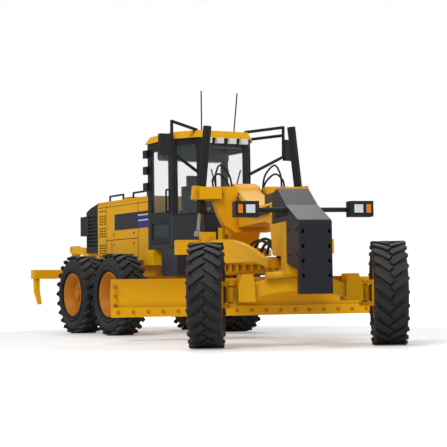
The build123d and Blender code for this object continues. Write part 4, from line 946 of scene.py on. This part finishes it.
@dataclass
class Studio:
    """Floor, lights and camera of the photograph's view."""

    eye: tuple[float, float, float] = (-83.5, -329.3, 15.7)
    yaw: float = 11.02
    pitch: float = 2.74
    roll: float = -0.74
    lens: float = 105.99
    sensor: float = 36.0
    # The floor's painted glow: its strength near the model, and the distances where it starts rising and reaches full
    # white.
    near_glow: float = 0.22
    glow_start: float = 0.09
    glow_full: float = 0.21
    floor_reach: float = 3.0
    soft_world: float = 0.33
    aim: tuple[float, float, float] = (0.0, 0.0, 0.03)

    def floor(self) -> None:
        """Lay a pale floor that takes soft shadows, with a painted glow seen only by the camera: weak near the model,
        full white further out.
        """
        mesh = bpy.data.meshes.new("floor")
        reach = self.floor_reach
        mesh.from_pydata(
            [(-reach, -reach, 0), (reach, -reach, 0), (reach, reach, 0), (-reach, reach, 0)],
            [], [(0, 1, 2, 3)],
        )
        ground = bpy.data.objects.new("floor", mesh)
        bpy.context.scene.collection.objects.link(ground)
        material = bpy.data.materials.new("floor_white")
        material.use_nodes = True
        shader = material.node_tree.nodes["Principled BSDF"]
        shader.inputs["Base Color"].default_value = (0.9, 0.9, 0.9, 1.0)
        shader.inputs["Roughness"].default_value = 0.5
        shader.inputs["Specular IOR Level"].default_value = 0.2
        shader.inputs["Emission Color"].default_value = FULL_WHITE
        nodes, links = material.node_tree.nodes, material.node_tree.links
        seen, spot = nodes.new("ShaderNodeLightPath"), nodes.new("ShaderNodeTexCoord")
        length = nodes.new("ShaderNodeVectorMath")
        length.operation = "LENGTH"
        links.new(spot.outputs["Object"], length.inputs[0])
        spread = nodes.new("ShaderNodeMapRange")
        for label, value in (
            ("From Min", self.glow_start), ("From Max", self.glow_full),
            ("To Min", self.near_glow), ("To Max", 1.0),
        ):
            spread.inputs[label].default_value = value
        links.new(length.outputs["Value"], spread.inputs["Value"])
        # painted glow: seen only by camera rays, weak near the model so its shadow shows, full white further out
        glow = nodes.new("ShaderNodeMath")
        glow.operation = "MULTIPLY"
        links.new(seen.outputs["Is Camera Ray"], glow.inputs[0])
        links.new(spread.outputs["Result"], glow.inputs[1])
        links.new(glow.outputs[0], shader.inputs["Emission Strength"])
        ground.data.materials.append(material)
        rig.stage(ground)

    def area(self, name: str, at: tuple[float, ...], size: float, power: float) -> None:
        """Hang one soft light aimed at the model.

        Args:
            name: the light's name.
            at: its place in metres.
            size: its edge in metres.
            power: its power in watts.
        """
        data = bpy.data.lights.new(name, "AREA")
        data.shape, data.size, data.energy = "SQUARE", size, power
        lamp = bpy.data.objects.new(name, data)
        lamp.location = at
        aim = Vector(self.aim) - Vector(at)
        lamp.rotation_euler = aim.to_track_quat("-Z", "Y").to_euler()
        bpy.context.scene.collection.objects.link(lamp)

    def lights(self) -> None:
        """Hang the lights and fill the world with white."""
        self.area("key", (-0.45, -0.6, 0.8), 0.4, 5.4)
        self.area("fill", (0.75, -0.5, 0.4), 0.5, 1.3)
        self.area("back", (0.1, 0.7, 0.8), 0.5, 3.0)
        world = bpy.data.worlds.new("studio")
        bpy.context.scene.world = world
        world.use_nodes = True
        nodes, links = world.node_tree.nodes, world.node_tree.links
        nodes.clear()
        out = nodes.new("ShaderNodeOutputWorld")
        soft, seen = nodes.new("ShaderNodeBackground"), nodes.new("ShaderNodeBackground")
        soft.inputs["Color"].default_value = FULL_WHITE
        soft.inputs["Strength"].default_value = self.soft_world
        seen.inputs["Color"].default_value = FULL_WHITE
        seen.inputs["Strength"].default_value = 1.0
        path = nodes.new("ShaderNodeLightPath")
        mix = nodes.new("ShaderNodeMixShader")
        links.new(path.outputs["Is Camera Ray"], mix.inputs["Fac"])
        links.new(soft.outputs[0], mix.inputs[1])
        links.new(seen.outputs[0], mix.inputs[2])
        links.new(mix.outputs[0], out.inputs["Surface"])

    def camera(self) -> None:
        """Set the camera at the photograph's viewing angle."""
        yaw, pitch, roll = (math.radians(a) for a in (self.yaw, self.pitch, self.roll))
        ahead = Vector((
            math.sin(yaw) * math.cos(pitch), math.cos(yaw) * math.cos(pitch), math.sin(pitch),
        ))
        level = Vector((math.cos(yaw), -math.sin(yaw), 0.0))
        over = level.cross(ahead)
        right = level * math.cos(roll) + over * math.sin(roll)
        up = over * math.cos(roll) - level * math.sin(roll)
        data = bpy.data.cameras.new("camera")
        data.sensor_width, data.lens = self.sensor, self.lens
        data.clip_start, data.clip_end = 0.01, 20.0
        eye = bpy.data.objects.new("camera", data)
        turn = Matrix((right, up, -ahead)).transposed().to_4x4()
        eye.matrix_world = Matrix.Translation(MAP.point(self.eye)) @ turn
        bpy.context.scene.collection.objects.link(eye)
        bpy.context.scene.camera = eye

    def build(self) -> None:
        """Set up the whole stage."""
        self.floor()
        self.lights()
        self.camera()
        bpy.context.scene.view_settings.view_transform = "Standard"


def write_bounds(stage_name: str, mode: str) -> None:
    """Write the object's bounds as one plain line.

    Args:
        stage_name: when they were measured.
        mode: how to open the file.
    """
    low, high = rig.bounds()
    spots = [round(v, 6) for v in (*low, *high)]
    with open(SIZE_FILE, mode) as out:
        out.write(f"{stage_name} {spots}\n")


def main() -> None:
    """Build the looks in order."""
    logging.basicConfig(level=logging.INFO, format="%(message)s")
    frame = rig.load()
    write_bounds("frame", "w")
    MAP.locate()
    NodePaint().apply(frame["nodes"])
    for detail in (
        NoseDetails(), BladeDetails(), DrawbarDetails(), GooseneckDetails(), HoodDetails(),
        CabDetails(), AxleDetails(), TyreDetails(), Studio(),
    ):
        detail.build()
        LOG.info("%s done", type(detail).__name__)
    write_bounds("whole", "a")


if __name__ == "__main__":
    main()
